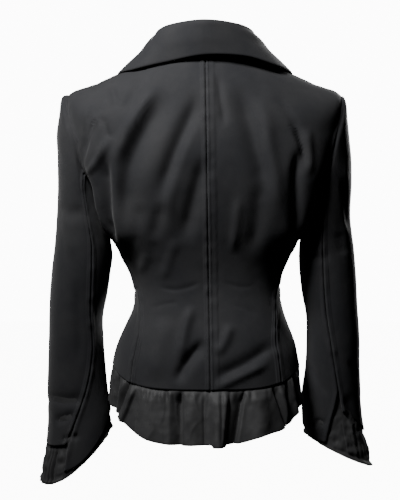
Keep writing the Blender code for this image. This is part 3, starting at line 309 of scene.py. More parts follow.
# Creases of the cloth, each on a path in the view of one side: its half width, its height, which is negative
# for a trough, its lean, which makes one flank steeper than the other, and the points of its path.
Crease = namedtuple("Crease", "view width height lean path")
TRUNK_CREASES = [
    Crease("back", 0.0160, -0.0115, 0.15, [
        (-0.044, -0.052), (-0.060, -0.076), (-0.080, -0.107), (-0.096, -0.138), (-0.108, -0.170),
        (-0.114, -0.205), (-0.112, -0.242), (-0.106, -0.275)]),
    Crease("back", 0.0065, 0.0060, 0.00, [
        (-0.068, -0.052), (-0.089, -0.085), (-0.107, -0.115), (-0.121, -0.145), (-0.131, -0.175)]),
    Crease("back", 0.0115, -0.0080, 0.10, [
        (-0.006, -0.060), (-0.018, -0.090), (-0.032, -0.125), (-0.045, -0.158), (-0.056, -0.190),
        (-0.064, -0.225)]),
    Crease("back", 0.0080, 0.0032, 0.00, [
        (-0.010, -0.100), (-0.038, -0.172), (-0.052, -0.225), (-0.048, -0.275)]),
    Crease("back", 0.0120, -0.0062, 0.10, [
        (0.000, -0.150), (-0.010, -0.195), (-0.020, -0.235), (-0.032, -0.285)]),
    Crease("back", 0.0080, -0.0036, 0.00, [(-0.060, -0.220), (-0.070, -0.258), (-0.080, -0.305)]),
    Crease("back", 0.0080, -0.0030, 0.00, [(-0.092, -0.222), (-0.098, -0.255), (-0.104, -0.295)]),
    Crease("back", 0.0125, -0.0150, -0.40, [
        (-0.143, -0.145), (-0.143, -0.175), (-0.142, -0.215), (-0.141, -0.250), (-0.133, -0.300)]),
    Crease("back", 0.0032, -0.0036, 0.00, [
        (-0.160, -0.070), (-0.165, -0.100), (-0.172, -0.128), (-0.178, -0.160)]),
    Crease("back", 0.0030, -0.0032, 0.00, [
        (-0.146, -0.062), (-0.156, -0.098), (-0.169, -0.136), (-0.178, -0.170)]),
    Crease("back", 0.0042, -0.0036, 0.00, [(-0.136, -0.052), (-0.131, -0.070), (-0.127, -0.092)]),
    Crease("back", 0.0036, -0.0034, 0.20, [(-0.150, -0.096), (-0.145, -0.112), (-0.137, -0.134)]),
    Crease("back", 0.0045, 0.0040, 0.00, [(-0.136, -0.128), (-0.152, -0.156), (-0.172, -0.184)]),
    Crease("back", 0.0070, -0.0034, 0.00, [(-0.088, -0.030), (-0.102, -0.062), (-0.122, -0.098)]),
    Crease("back", 0.0050, -0.0028, 0.00, [(0.018, -0.036), (0.022, -0.072), (0.029, -0.120)]),
    Crease("back", 0.0130, -0.0085, -0.10, [
        (0.044, -0.050), (0.056, -0.085), (0.064, -0.110), (0.070, -0.135), (0.077, -0.160),
        (0.084, -0.190), (0.088, -0.225)]),
    Crease("back", 0.0095, 0.0050, 0.00, [
        (0.082, -0.066), (0.091, -0.146), (0.101, -0.198), (0.109, -0.255)]),
    Crease("back", 0.0040, -0.0048, 0.20, [
        (0.098, -0.066), (0.125, -0.104), (0.136, -0.135), (0.147, -0.180)]),
    Crease("back", 0.0055, 0.0035, 0.00, [(0.146, -0.110), (0.149, -0.150), (0.148, -0.188)]),
    Crease("back", 0.0080, -0.0085, 0.20, [
        (0.136, -0.138), (0.129, -0.180), (0.129, -0.230), (0.131, -0.285)]),
    Crease("back", 0.0110, -0.0045, 0.00, [(0.078, -0.190), (0.076, -0.235), (0.066, -0.300)]),
    Crease("back", 0.0055, 0.0028, 0.00, [(0.048, -0.210), (0.045, -0.250), (0.038, -0.300)]),
    Crease("back", 0.0065, 0.0024, 0.00, [(-0.066, -0.262), (-0.082, -0.292), (-0.094, -0.330)]),
    Crease("back", 0.0065, 0.0024, 0.00, [(-0.042, -0.272), (-0.051, -0.302), (-0.062, -0.338)]),
    Crease("back", 0.0036, -0.0010, 0.20, [
        (-0.070, -0.344), (-0.044, -0.349), (-0.018, -0.343), (-0.004, -0.334)]),
    Crease("back", 0.0032, -0.0007, 0.00, [(-0.082, -0.376), (-0.058, -0.369), (-0.036, -0.366)]),
    Crease("back", 0.0030, -0.0006, 0.00, [(0.024, -0.336), (0.048, -0.344), (0.072, -0.344)]),
    Crease("back", 0.0032, -0.0005, 0.00, [(0.036, -0.368), (0.056, -0.375), (0.078, -0.386)]),
    Crease("back", 0.0140, 0.0032, 0.00, [(-0.055, -0.385), (-0.066, -0.430), (-0.074, -0.482)]),
    Crease("back", 0.0070, 0.0052, 0.00, [(-0.018, -0.368), (-0.030, -0.412), (-0.036, -0.452)]),
    Crease("back", 0.0080, -0.0075, 0.20, [
        (0.002, -0.418), (-0.016, -0.436), (-0.032, -0.458), (-0.043, -0.484)]),
    Crease("back", 0.0070, 0.0040, 0.00, [(0.038, -0.395), (0.028, -0.422), (0.014, -0.444)]),
    Crease("back", 0.0085, -0.0060, -0.20, [(0.106, -0.424), (0.055, -0.454), (0.006, -0.476)]),
    Crease("back", 0.0060, 0.0036, 0.00, [(0.096, -0.450), (0.044, -0.474), (0.006, -0.492)]),
    Crease("front", 0.0130, -0.0040, 0.00, [(0.060, -0.060), (0.105, -0.140), (0.150, -0.230)]),
    Crease("front", 0.0130, -0.0045, 0.00, [(-0.055, -0.065), (-0.100, -0.150), (-0.150, -0.240)]),
    Crease("front", 0.0080, -0.0045, 0.20, [(0.010, -0.350), (0.055, -0.328), (0.112, -0.292)]),
    Crease("front", 0.0080, -0.0045, -0.20, [(-0.010, -0.358), (-0.060, -0.332), (-0.112, -0.296)]),
    Crease("front", 0.0050, -0.0028, 0.00, [(0.010, -0.392), (0.050, -0.378), (0.096, -0.348)]),
    Crease("front", 0.0050, -0.0028, 0.00, [(-0.010, -0.400), (-0.052, -0.384), (-0.098, -0.352)]),
    Crease("front", 0.0060, -0.0035, 0.00, [(0.122, -0.140), (0.114, -0.200), (0.098, -0.265)]),
    Crease("front", 0.0060, -0.0035, 0.00, [(-0.122, -0.148), (-0.116, -0.205), (-0.102, -0.272)]),
    Crease("front", 0.0080, 0.0030, 0.00, [(0.070, -0.372), (0.074, -0.410), (0.088, -0.460)]),
    Crease("front", 0.0080, 0.0030, 0.00, [(-0.066, -0.378), (-0.072, -0.415), (-0.084, -0.462)]),
    Crease("right", 0.0035, -0.0018, 0.00, [(-0.045, -0.352), (0.000, -0.344), (0.050, -0.350)]),
    Crease("right", 0.0030, -0.0014, 0.00, [(-0.030, -0.368), (0.015, -0.362), (0.060, -0.371)]),
    Crease("right", 0.0080, -0.0030, 0.00, [(0.004, -0.385), (0.010, -0.420), (0.006, -0.462)]),
    Crease("left", 0.0035, -0.0018, 0.00, [(-0.050, -0.346), (0.000, -0.353), (0.045, -0.346)]),
    Crease("left", 0.0030, -0.0014, 0.00, [(-0.025, -0.372), (0.020, -0.366), (0.055, -0.373)]),
    Crease("left", 0.0080, -0.0030, 0.00, [(0.000, -0.388), (-0.006, -0.424), (0.000, -0.465)]),
]
SLEEVE_CREASES = {
    1: [
        Crease("back", 0.0080, -0.0026, 0.00, [(0.146, -0.292), (0.160, -0.300), (0.184, -0.302)]),
        Crease("back", 0.0060, -0.0030, 0.00, [(0.200, -0.180), (0.206, -0.230), (0.213, -0.270)]),
        Crease("back", 0.0065, -0.0026, 0.00, [(0.208, -0.500), (0.216, -0.530), (0.228, -0.556)]),
        Crease("back", 0.0050, -0.0030, 0.00, [(0.154, -0.560), (0.166, -0.545), (0.178, -0.552)]),
        Crease("back", 0.0095, -0.0018, 0.00, [(0.196, -0.262), (0.205, -0.300)]),
        Crease("back", 0.0060, -0.0022, 0.10, [(0.150, -0.452), (0.166, -0.480), (0.182, -0.512)]),
        Crease("back", 0.0045, -0.0016, 0.00, [(0.212, -0.452), (0.226, -0.486)]),
        Crease("back", 0.0050, 0.0014, 0.00, [(0.208, -0.150), (0.203, -0.230), (0.210, -0.330)]),
        Crease("front", 0.0060, -0.0028, 0.10, [(0.140, -0.332), (0.170, -0.325), (0.200, -0.304)]),
        Crease("front", 0.0050, -0.0024, 0.10, [(0.145, -0.352), (0.175, -0.350), (0.205, -0.336)]),
        Crease("front", 0.0050, -0.0020, 0.00, [(0.150, -0.380), (0.180, -0.376), (0.200, -0.366)]),
        Crease("front", 0.0070, -0.0022, 0.00, [(0.165, -0.150), (0.178, -0.200), (0.176, -0.260)]),
        Crease("right", 0.0060, -0.0020, 0.00, [(0.045, -0.240), (0.020, -0.290), (0.010, -0.350)]),
        Crease("right", 0.0070, -0.0018, 0.00, [(-0.025, -0.190), (-0.010, -0.260), (0.005, -0.330)]),
        Crease("right", 0.0050, -0.0016, 0.00, [(0.060, -0.470), (0.030, -0.500), (-0.005, -0.520)]),
    ],
    -1: [
        Crease("back", 0.0030, -0.0012, 0.00, [(-0.208, -0.102), (-0.195, -0.108)]),
        Crease("back", 0.0110, -0.0024, 0.00, [(-0.218, -0.224), (-0.200, -0.236), (-0.172, -0.236)]),
        Crease("back", 0.0060, 0.0018, 0.00, [(-0.209, -0.216), (-0.203, -0.257), (-0.193, -0.309)]),
        Crease("back", 0.0085, -0.0032, 0.15, [(-0.242, -0.508), (-0.205, -0.514), (-0.172, -0.509)]),
        Crease("back", 0.0065, -0.0028, 0.00, [(-0.226, -0.546), (-0.204, -0.538), (-0.190, -0.530)]),
        Crease("back", 0.0045, -0.0030, 0.00, [(-0.214, -0.574), (-0.196, -0.566), (-0.184, -0.570)]),
        Crease("back", 0.0080, -0.0020, 0.00, [(-0.190, -0.330), (-0.184, -0.400), (-0.186, -0.470)]),
        Crease("front", 0.0060, -0.0028, 0.10, [(-0.140, -0.328), (-0.172, -0.320), (-0.202, -0.300)]),
        Crease("front", 0.0050, -0.0024, 0.10, [(-0.146, -0.350), (-0.178, -0.346), (-0.206, -0.330)]),
        Crease("front", 0.0050, -0.0020, 0.00, [(-0.152, -0.376), (-0.182, -0.372), (-0.202, -0.360)]),
        Crease("front", 0.0070, -0.0022, 0.00, [(-0.165, -0.152), (-0.178, -0.205), (-0.176, -0.262)]),
        Crease("left", 0.0060, -0.0020, 0.00, [(0.046, -0.235), (0.022, -0.285), (0.012, -0.345)]),
        Crease("left", 0.0070, -0.0018, 0.00, [(-0.022, -0.180), (-0.010, -0.250), (0.004, -0.325)]),
        Crease("left", 0.0050, -0.0022, 0.00, [(0.062, -0.500), (0.030, -0.520), (-0.010, -0.516)]),
    ],
}

# A crease fades over this share of its length at each end, and on cloth that faces away from its view.
CREASE_ENDS = 0.28
FACING_FROM = -0.05
FACING_RUN = 0.45

# A seam: the groove, the lip beside it, and the raised cloth over the pressed allowance, which is so wide.
SEAM_DIP = 0.0020
SEAM_WIDTH = 0.0011
PRESS_HEIGHT = 0.00085
PRESS_FADE = 0.0018
PUCKER = 0.55
PUCKER_SIZE = 0.010
PUCKER_SEED = 3
LIP_HEIGHT = 0.0009
LIP_PLACE = 0.0030
LIP_WIDTH = 0.0012
CENTRE_ALLOWANCE = {1: 0.0115, -1: 0.0062}
ALLOWANCE = 0.007
SLEEVE_ALLOWANCE = 0.006

# How a piece ends on each side of its grid: the allowance of a seam, FREE for a free edge, which is rounded,
# or PLAIN where it is neither.
PLAIN = 0
FREE = -1
EDGE_ROUND = 0.0011
EDGE_LEAST = 0.10
Edges = namedtuple("Edges", "first_column last_column first_row last_row")

# Soft unevenness of the cloth: its height, the size of its lumps, and a seed for each kind of piece. Satin
# has fine sharp creases as well.
Unevenness = namedtuple("Unevenness", "height size seed")
BACK_UNEVEN = Unevenness(0.00045, (0.022, 0.022, 0.034), 5)
FRONT_UNEVEN = BACK_UNEVEN._replace(seed=6)
SIDE_UNEVEN = BACK_UNEVEN._replace(seed=7)
SLEEVE_UNEVEN = BACK_UNEVEN._replace(seed=8)
CUFF_UNEVEN = Unevenness(0.0013, (0.010, 0.010, 0.008), 31)
CUFF_CREASED = Unevenness(0.0020, (0.014, 0.014, 0.012), 33)
RUFFLE_UNEVEN = Unevenness(0.0009, (0.016, 0.016, 0.020), 21)
RUFFLE_CREASED = Unevenness(0.0013, (0.020, 0.020, 0.045), 24)

# For each view, which coordinate runs across it, and the way that the cloth seen in it faces.
Way = namedtuple("Way", "across facing")
VIEWS = {
    "back": Way(0, (0, -1, 0)),
    "front": Way(0, (0, 1, 0)),
    "right": Way(1, (1, 0, 0)),
    "left": Way(1, (-1, 0, 0)),
}


def smooth_rows(table, at):
    """Rows of a table read at fractional places, on a smooth curve through them."""
    rows = np.array(table, float)
    at = np.asarray(at, float)
    last = len(rows) - 1
    low = np.clip(np.floor(at).astype(int), 0, last - 1)
    f = (at - low)[..., None] if rows.ndim > 1 else at - low
    before, here = rows[np.maximum(low - 1, 0)], rows[low]
    there, after = rows[low + 1], rows[np.minimum(low + 2, last)]
    return 0.5 * (
        2 * here
        + (there - before) * f
        + (2 * before - 5 * here + 4 * there - after) * f**2
        + (3 * here - before - 3 * there + after) * f**3
    )


def ease(x):
    """0 below 0, 1 above 1, smooth between."""
    x = np.clip(x, 0, 1)
    return x * x * (3 - 2 * x)


def unit(vectors):
    return vectors / np.maximum(np.linalg.norm(vectors, axis=-1, keepdims=True), 1e-12)


def lerp(a, b, t):
    return a + (b - a) * t


def close_ends(count, ends):
    """Places from 0 to 1, closer together at both ends by ends, from 0 to under 1."""
    t = np.linspace(0, 1, count + 1)
    return t - ends * np.sin(2 * np.pi * t) / (2 * np.pi)


def noise(points, size, seed):
    """Smooth noise from -1 to 1, in lumps of one size."""
    cell = points / np.asarray(size) + 17.31 * seed
    low = np.floor(cell).astype(np.int64)
    f = ease(cell - low)
    total = np.zeros(points.shape[:-1])
    for corner in itertools.product((0, 1), repeat=3):
        key = low + np.array(corner)
        mixed = key[..., 0] * 73856093 ^ key[..., 1] * 19349663 ^ key[..., 2] * 83492791
        mixed = ((mixed ^ (mixed >> 13)) * 1274126177) & 0xFFFFFF
        weight = np.prod(np.where(np.array(corner) == 1, f, 1 - f), axis=-1)
        total += weight * (mixed / 0x7FFFFF - 1)
    return total


def smooth_trunk(angle, level):
    """The trunk without its folds. Angle 0 is the centre back, 90 the wearer's right side, 180 the front."""
    turn = np.radians(np.asarray(angle, float))
    row = Level(*np.moveaxis(smooth_rows(TRUNK, level), -1, 0))
    sine, cosine = np.sin(turn), np.cos(turn)
    behind = cosine >= 0
    reach = np.where(behind, row.back, row.front)
    end_z = np.where(behind, row.z_back, row.z_front)
    x = row.shift + row.half_width * sine * (1 + row.square * cosine**2)
    y = -reach * cosine * (1 + DEPTH_SQUARE * sine**2)
    z = row.z_side + (end_z - row.z_side) * (1 - sine**4)
    return np.stack([x, y, z], axis=-1)


def normals_of(surface, turn, row):
    """Unit normals of surface(turn, row), by small steps each way."""
    along = surface(turn + TURN_STEP, row) - surface(turn - TURN_STEP, row)
    across = surface(turn, row + ROW_STEP) - surface(turn, row - ROW_STEP)
    return unit(np.cross(along, across))


def path_place(u, z, path):
    """How far along a path each point of a view lies, as a share of it, and how far off it to the left."""
    line = smooth_rows(path, np.linspace(0, len(path) - 1, 4 * len(path)))
    starts, runs = line[:-1], np.diff(line, axis=0)
    lengths = np.linalg.norm(runs, axis=1)
    before = np.concatenate([[0], np.cumsum(lengths)])
    best, along, off = np.full(u.shape, 1e9), np.zeros(u.shape), np.zeros(u.shape)
    for start, run, length, so_far in zip(starts, runs, lengths, before):
        du, dz = u - start[0], z - start[1]
        share = np.clip((du * run[0] + dz * run[1]) / length**2, 0, 1)
        away = np.hypot(du - share * run[0], dz - share * run[1])
        side = np.sign(run[0] * dz - run[1] * du)
        nearer = away < best
        best = np.where(nearer, away, best)
        along = np.where(nearer, so_far + share * length, along)
        off = np.where(nearer, away * side, off)
    return along / before[-1], off


def crease_heights(creases, points, outward):
    """How far the creases raise each point."""
    total = np.zeros(points.shape[:-1])
    for crease in creases:
        way = VIEWS[crease.view]
        seen = ease((outward @ np.array(way.facing, float) - FACING_FROM) / FACING_RUN)
        along, off = path_place(points[..., way.across], points[..., 2], crease.path)
        width = crease.width * (1 + crease.lean * np.sign(off))
        ends = ease(np.minimum(along, 1 - along) / CREASE_ENDS)
        total += crease.height * ends * seen * np.exp(-((off / width) ** 2))
    return total


def trunk(angle, level):
    """The trunk's middle surface, with the fullness of the bust."""
    points = smooth_trunk(angle, level)
    outward = normals_of(smooth_trunk, angle, level)
    behind = ease(0.5 + BUST_FADE * np.cos(np.radians(angle)))
    raised = np.zeros(points.shape[:-1])
    for side in (-1, 1):
        away = np.hypot(points[..., 0] - side * BUST.x, points[..., 2] - BUST.z)
        raised += BUST.height * (1 - behind) * np.exp(-((away / BUST.spread) ** 2))
    return points + outward * raised[..., None]


def trunk_normals(angle, level):
    return normals_of(trunk, angle, level)


def one_gap(angle, level):
    """Half the seam gap, in degrees of trunk angle."""
    stride = np.linalg.norm(smooth_trunk(angle + 0.5, level) - smooth_trunk(angle - 0.5, level), axis=-1)
    return 0.5 * GAP / stride


def lapped(side, points, outward):
    """The front's points near the centre, moved out on the right front and in on the left one."""
    from_centre = points[..., 0] * side
    share = ease((LAP_FROM - from_centre) / (LAP_FROM - LAP_TO))
    return points + outward * (side * LAP * share)[..., None]


def roll_x(z):
    """The lapel's roll line in the front view, and below it the front's edge."""
    return -OVERLAP + ROLL_SLOPE * np.maximum(z - BREAK_Z, 0)


def front_edge(level):
    """The trunk angle of a front's free edge or roll line, by halving."""
    low, high = np.full_like(level, 95.0), np.full_like(level, 200.0)
    for _ in range(40):
        middle = (low + high) / 2
        point = smooth_trunk(middle, level)
        inside = point[..., 0] > roll_x(point[..., 2])
        low, high = np.where(inside, middle, low), np.where(inside, high, middle)
    return low


def front_at(x, z):
    """Trunk angle and level under a point of the front view, on the wearer's right, by Newton steps."""
    angle, level = np.full_like(x, 140.0), np.full_like(x, 10.5)
    for _ in range(30):
        here = smooth_trunk(angle, level)[..., [0, 2]]
        by_angle = (smooth_trunk(angle + 0.1, level)[..., [0, 2]] - here) / 0.1
        by_level = (smooth_trunk(angle, level + 0.01)[..., [0, 2]] - here) / 0.01
        miss_x, miss_z = x - here[..., 0], z - here[..., 1]
        size = by_angle[..., 0] * by_level[..., 1] - by_angle[..., 1] * by_level[..., 0]
        angle = angle + np.clip((miss_x * by_level[..., 1] - miss_z * by_level[..., 0]) / size, -8, 8)
        level = level + np.clip((miss_z * by_angle[..., 0] - miss_x * by_angle[..., 1]) / size, -0.8, 0.8)
        angle, level = np.clip(angle, 92, 195), np.clip(level, 0, NECK)
    return angle, level


def on_front(side, x, z, lift):
    """Points over the front view's (x, z), lifted off the front of that side."""
    angle, level = front_at(x, z)
    points = trunk(side * angle, level)
    outward = trunk_normals(side * angle, level)
    return lapped(side, points, outward) + outward * np.asarray(lift)[..., None]


def arm_angle(clock):
    turn = np.sin(np.radians(clock))
    return 90 - np.where(turn > 0, ARM_BACK_DEGREES, ARM_FRONT_DEGREES) * turn


def arm_level(clock):
    return ARM_MIDDLE + ARM_HALF * np.cos(np.radians(clock))


def sleeve(side, clock, at):
    """A sleeve's middle surface: its clock as the armhole's, and its place in the table of sections."""
    turn = np.radians(clock)
    sine, cosine = np.sin(turn), np.cos(turn)

    def ring(place):
        section = Section(*np.moveaxis(smooth_rows(SLEEVES[side], place), -1, 0))
        half_x = (section.outer_x - section.inner_x) / 2
        half_z = (section.outer_z - section.inner_z) / 2
        half_y = (section.front - section.back) / 2
        reach = cosine * (1 + SLEEVE_SQUARE * sine**2)
        x = section.inner_x + half_x + half_x * reach
        y = (section.back + section.front) / 2 - half_y * sine * (1 + SLEEVE_SQUARE * cosine**2)
        z = section.inner_z + half_z + half_z * reach
        return np.stack([side * x, y, z], axis=-1)

    seam = trunk(side * arm_angle(clock), arm_level(clock))
    settle = (1 - ease(at / SLEEVE_SETTLES))[..., None]
    return ring(at) + (seam - ring(np.zeros_like(at))) * settle


def sleeve_normals(side, clock, at):
    return side * normals_of(lambda turn, row: sleeve(side, turn, row), clock, np.maximum(at, ROW_STEP))


def round_clock(values, clock):
    """A value given at the outer, back, inner and front points, smooth all round the sleeve."""
    outer, back, inner, front = values
    turn = np.radians(clock)
    sine, cosine = np.sin(turn), np.cos(turn)
    middle = (outer + inner) / 2
    return middle + (outer - inner) / 2 * cosine + (np.where(sine > 0, back, front) - middle) * sine**2


def grid_normals(points, ring=False):
    down = np.gradient(points, axis=0)
    if ring:
        across = (np.roll(points, -1, axis=1) - np.roll(points, 1, axis=1)) / 2
    else:
        across = np.gradient(points, axis=1)
    return unit(np.cross(across, down))


def lengths_along(points, axis):
    """How far each point of a grid lies from its first row or column, along the cloth."""
    steps = np.linalg.norm(np.diff(points, axis=axis), axis=-1)
    total = np.cumsum(steps, axis=axis)
    zero = np.zeros_like(np.take(total, [0], axis=axis))
    return np.concatenate([zero, total], axis=axis)


def edge_distances(points, edges):
    """For each edge that isn't plain, its allowance and how far each point lies from it."""
    across, down = lengths_along(points, 1), lengths_along(points, 0)
    far = (across, across[:, -1:] - across, down, down[-1:, :] - down)
    return [(edge, distance) for edge, distance in zip(edges, far) if edge != PLAIN]


def finished_edges(points, outward, edges):
    """The points turned in at seams, and how thick the wall is there, as a share."""
    raised, thick = np.zeros(points.shape[:-1]), np.ones(points.shape[:-1])
    pucker = 1 + PUCKER * noise(points, PUCKER_SIZE, PUCKER_SEED)
    for allowance, distance in edge_distances(points, edges):
        round_off = np.sqrt(np.clip(1 - (1 - np.clip(distance / EDGE_ROUND, 0, 1)) ** 2, EDGE_LEAST, 1))
        thick = np.minimum(thick, round_off)
        if allowance > 0:
            raised += PRESS_HEIGHT * pucker * (1 - ease((distance - allowance) / PRESS_FADE))
            raised += LIP_HEIGHT * pucker * np.exp(-(((distance - LIP_PLACE) / LIP_WIDTH) ** 2))
            raised -= SEAM_DIP * np.exp(-((distance / SEAM_WIDTH) ** 2))
    return points + outward * raised[..., None], thick


def wall_mesh(name, middle, outward, thick, ring=False):
    """A closed wall on a grid of points, with the lengths along the cloth as its UV map."""
    rows, columns = middle.shape[:2]
    half = outward * (np.broadcast_to(thick, (rows, columns)) / 2)[..., None]
    points = np.concatenate([(middle + half).reshape(-1, 3), (middle - half).reshape(-1, 3)])
    back = rows * columns
    across = columns if ring else columns - 1
    i, j = np.meshgrid(np.arange(rows - 1), np.arange(across), indexing="ij")
    k = (j + 1) % columns
    corners = (i * columns + j, i * columns + k, (i + 1) * columns + j, (i + 1) * columns + k)
    a, b, c, d = (corner.ravel() for corner in corners)
    faces = [np.stack([a, b, d, c], 1), np.stack([back + a, back + c, back + d, back + b], 1)]
    j = np.arange(across)
    k = (j + 1) % columns
    top = (rows - 1) * columns
    faces.append(np.stack([j, back + j, back + k, k], 1))
    faces.append(np.stack([top + j, top + k, back + top + k, back + top + j], 1))
    if not ring:
        a, b = np.arange(rows - 1) * columns, np.arange(1, rows) * columns
        faces.append(np.stack([a, b, back + b, back + a], 1))
        a, b = a + columns - 1, b + columns - 1
        faces.append(np.stack([a, back + a, back + b, b], 1))
    faces = np.concatenate(faces)
    corners = points[faces]
    volume = np.einsum("ij,ij->i", corners[:, 0], np.cross(corners[:, 1], corners[:, 2])).sum()
    volume += np.einsum("ij,ij->i", corners[:, 0], np.cross(corners[:, 2], corners[:, 3])).sum()
    if volume < 0:
        faces = faces[:, ::-1]
    mesh = bpy.data.meshes.new(name)
    mesh.from_pydata(points.tolist(), [], faces.tolist())
    u, v = lengths_along(middle, 1), lengths_along(middle, 0)
    flat = np.tile(np.stack([u, v], -1).reshape(-1, 2), (2, 1))
    layer = mesh.uv_layers.new(name="cloth")
    layer.data.foreach_set("uv", flat[faces.ravel()].astype(np.float32).ravel())
    mesh.shade_smooth()
    return mesh


Finish = namedtuple("Finish", "word slot material")


def link_new(name, data):
    """A new object in the scene."""
    made = bpy.data.objects.new(name, data)
    bpy.context.scene.collection.objects.link(made)
    return made


def add_piece(mesh, finish, cad_node):
    """A piece that stands for a CAD node and rides on the body."""
    piece = link_new(mesh.name, mesh)
    mesh.materials.append(finish.material)
    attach(piece, BODY)
    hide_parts(cad_node)
    return piece


def add_sheet(name, finish, points, outward, thick, ring=False):
    """A piece of cloth or satin as a thin wall."""
    mesh = wall_mesh(f"{name}_{finish.word}", points, outward, thick, ring)
    piece = add_piece(mesh, finish, name)


def creased_satin(points, outward, unevenness):
    """Points raised along fine sharp creases, which run where a smooth noise crosses zero."""
    height, size, seed = unevenness
    fine = 1 - np.abs(noise(points, size, seed))
    strength = np.clip(0.5 + noise(points, np.asarray(size) * 2.5, seed + 1), 0, 1.2)
    return points + outward * (height * strength * fine**9)[..., None]


def crumpled(points, outward, unevenness):
    """Points moved by soft unevenness of the cloth, in two sizes."""
    height, size, seed = unevenness
    raised = noise(points, size, seed) + 0.35 * noise(points, np.asarray(size) * 0.4, seed + 1)
    return points + outward * (height * raised)[..., None]


def seam_at(table, junction_angle, level):
    return smooth_rows([*table, junction_angle], level)


def back_seam(level):
    return seam_at(BACK_SEAM, float(arm_angle(np.array(JUNCTION_CLOCK))), level)


def front_seam(level):
    return seam_at(FRONT_SEAM, float(arm_angle(np.array(-JUNCTION_CLOCK))), level)


def centre_seam(level):
    """Angle of the centre back seam."""
    row = Level(*np.moveaxis(smooth_rows(TRUNK, level), -1, 0))
    off = -CENTRE_LEAN * row.z_back - row.shift
    return np.degrees(off / (row.half_width * (1 + row.square)))


# How finely the panels are drawn.
PANEL_ROWS = 240
SIDE_ROWS = 150
BACK_COLUMNS = 76
FRONT_COLUMNS = 64
SIDE_COLUMNS = 44


def even_rows(angle, level, side):
    """A long side of a panel, as trunk angles and levels, read again at even steps along the cloth."""
    place = lengths_along(smooth_trunk(side * angle, level)[:, None], 0)[:, 0]
    even = np.linspace(0, place[-1], PANEL_ROWS + 1)
    return np.interp(even, place, angle), np.interp(even, place, level)


def outer_side(seam, way, side):
    """A panel's outer side: long seam, armhole and shoulder. Way is 1 for a back and -1 for a front."""
    lower = np.linspace(0, JUNCTION, 400)
    clock = way * np.linspace(JUNCTION_CLOCK, 0, 300)[1:]
    yoke = np.linspace(SHOULDER_TIP, NECK, 200)[1:]
    level = np.concatenate([lower, arm_level(clock), yoke])
    angle = np.concatenate([seam(lower), arm_angle(clock), np.full_like(yoke, 90.0)])
    gap = one_gap(angle, level)
    on_seam = level < JUNCTION
    near_tip = (level > JUNCTION) & (way * (90 - angle) < gap)
    angle = np.where(on_seam, angle - way * gap, np.where(near_tip, 90 - way * gap, angle))
    return even_rows(angle, level, side)


def panel_grid(inner, outer, columns):
    """A panel's trunk angles and levels, blended from its inner to its outer side."""
    share = close_ends(columns, 0.8)
    return tuple(lerp(a[:, None], b[:, None], share) for a, b in zip(inner, outer))


def add_panel(name, kind, finish, points, outward, creases, edges, unevenness):
    """A panel with its creases, its unevenness and its edges."""
    points = points + outward * crease_heights(creases, points, outward)[..., None]
    points = crumpled(points, outward, unevenness)
    points, thick = finished_edges(points, outward, edges)
    fresh = grid_normals(points)
    fresh *= np.sign(np.sum(fresh * outward, axis=-1, keepdims=True))
    add_sheet(name, finish, points, fresh, thick * CLOTH)


def make_back(side, name, finish):
    levels = np.linspace(0, NECK, 600)
    inner = even_rows(side * centre_seam(levels) + one_gap(np.zeros_like(levels), levels), levels, side)
    angle, level = panel_grid(inner, outer_side(back_seam, 1, side), BACK_COLUMNS)
    angle = side * angle
    edges = Edges(CENTRE_ALLOWANCE[side], ALLOWANCE, PLAIN, PLAIN)
    points, outward = trunk(angle, level), trunk_normals(angle, level)
    add_panel(name, "back", finish, points, outward, TRUNK_CREASES, edges, BACK_UNEVEN)


def make_front(side, name, finish):
    levels = np.linspace(0, NECK, 600)
    inner = even_rows(front_edge(levels), levels, side)
    angle, level = panel_grid(inner, outer_side(front_seam, -1, side), FRONT_COLUMNS)
    angle = side * angle
    outward = trunk_normals(angle, level)
    points = lapped(side, trunk(angle, level), outward)
    edges = Edges(PLAIN, ALLOWANCE, PLAIN, PLAIN)
    add_panel(name, "front", finish, points, outward, TRUNK_CREASES, edges, FRONT_UNEVEN)


def make_side(side, name, finish):
    clock = np.linspace(JUNCTION_CLOCK, 360 - JUNCTION_CLOCK, SIDE_COLUMNS + 1)
    top_angle, top_level = arm_angle(clock), arm_level(clock)
    share = close_ends(SIDE_COLUMNS, 0.75)
    clock = np.interp(share, (top_angle - top_angle[0]) / (top_angle[-1] - top_angle[0]), clock)
    top_angle, top_level = arm_angle(clock), arm_level(clock)
    share = (top_angle - top_angle[0]) / (top_angle[-1] - top_angle[0])
    up = np.linspace(0, 1, SIDE_ROWS + 1)[:, None]
    level = up * top_level
    angle = lerp(back_seam(level), front_seam(level), share)
    miss = top_angle - lerp(back_seam(top_level), front_seam(top_level), share)
    angle = angle + miss * up**3
    angle[:, 0] += one_gap(angle[:, 0], level[:, 0])
    angle[:, -1] -= one_gap(angle[:, -1], level[:, -1])
    angle = side * angle
    edges = Edges(ALLOWANCE, ALLOWANCE, PLAIN, ALLOWANCE)
    points, outward = trunk(angle, level), trunk_normals(angle, level)
    add_panel(name, "side", finish, points, outward, TRUNK_CREASES, edges, SIDE_UNEVEN)


def armhole(side, clock):
    """The armhole's points and the trunk's normals there."""
    angle, level = side * arm_angle(clock), arm_level(clock)
    return trunk(angle, level), trunk_normals(angle, level)


def into_armhole(side, clock):
    """Directions along the trunk's surface, off its cloth and into the armhole."""
    here, outward = armhole(side, clock)
    along = trunk(side * arm_angle(clock + 1), arm_level(clock + 1)) - here
    return side * unit(np.cross(outward, along))


# How finely the sleeves are drawn, in how many sections they lose the gap and the creases of the armhole, and
# the section at which the cuffs read the back seam.
SLEEVE_ROWS = 210
UPPER_COLUMNS = 84
UNDER_COLUMNS = 44
GAP_SECTIONS = 2.0
DRAWN_SECTIONS = 1.6
CUFF_SECTION = 15


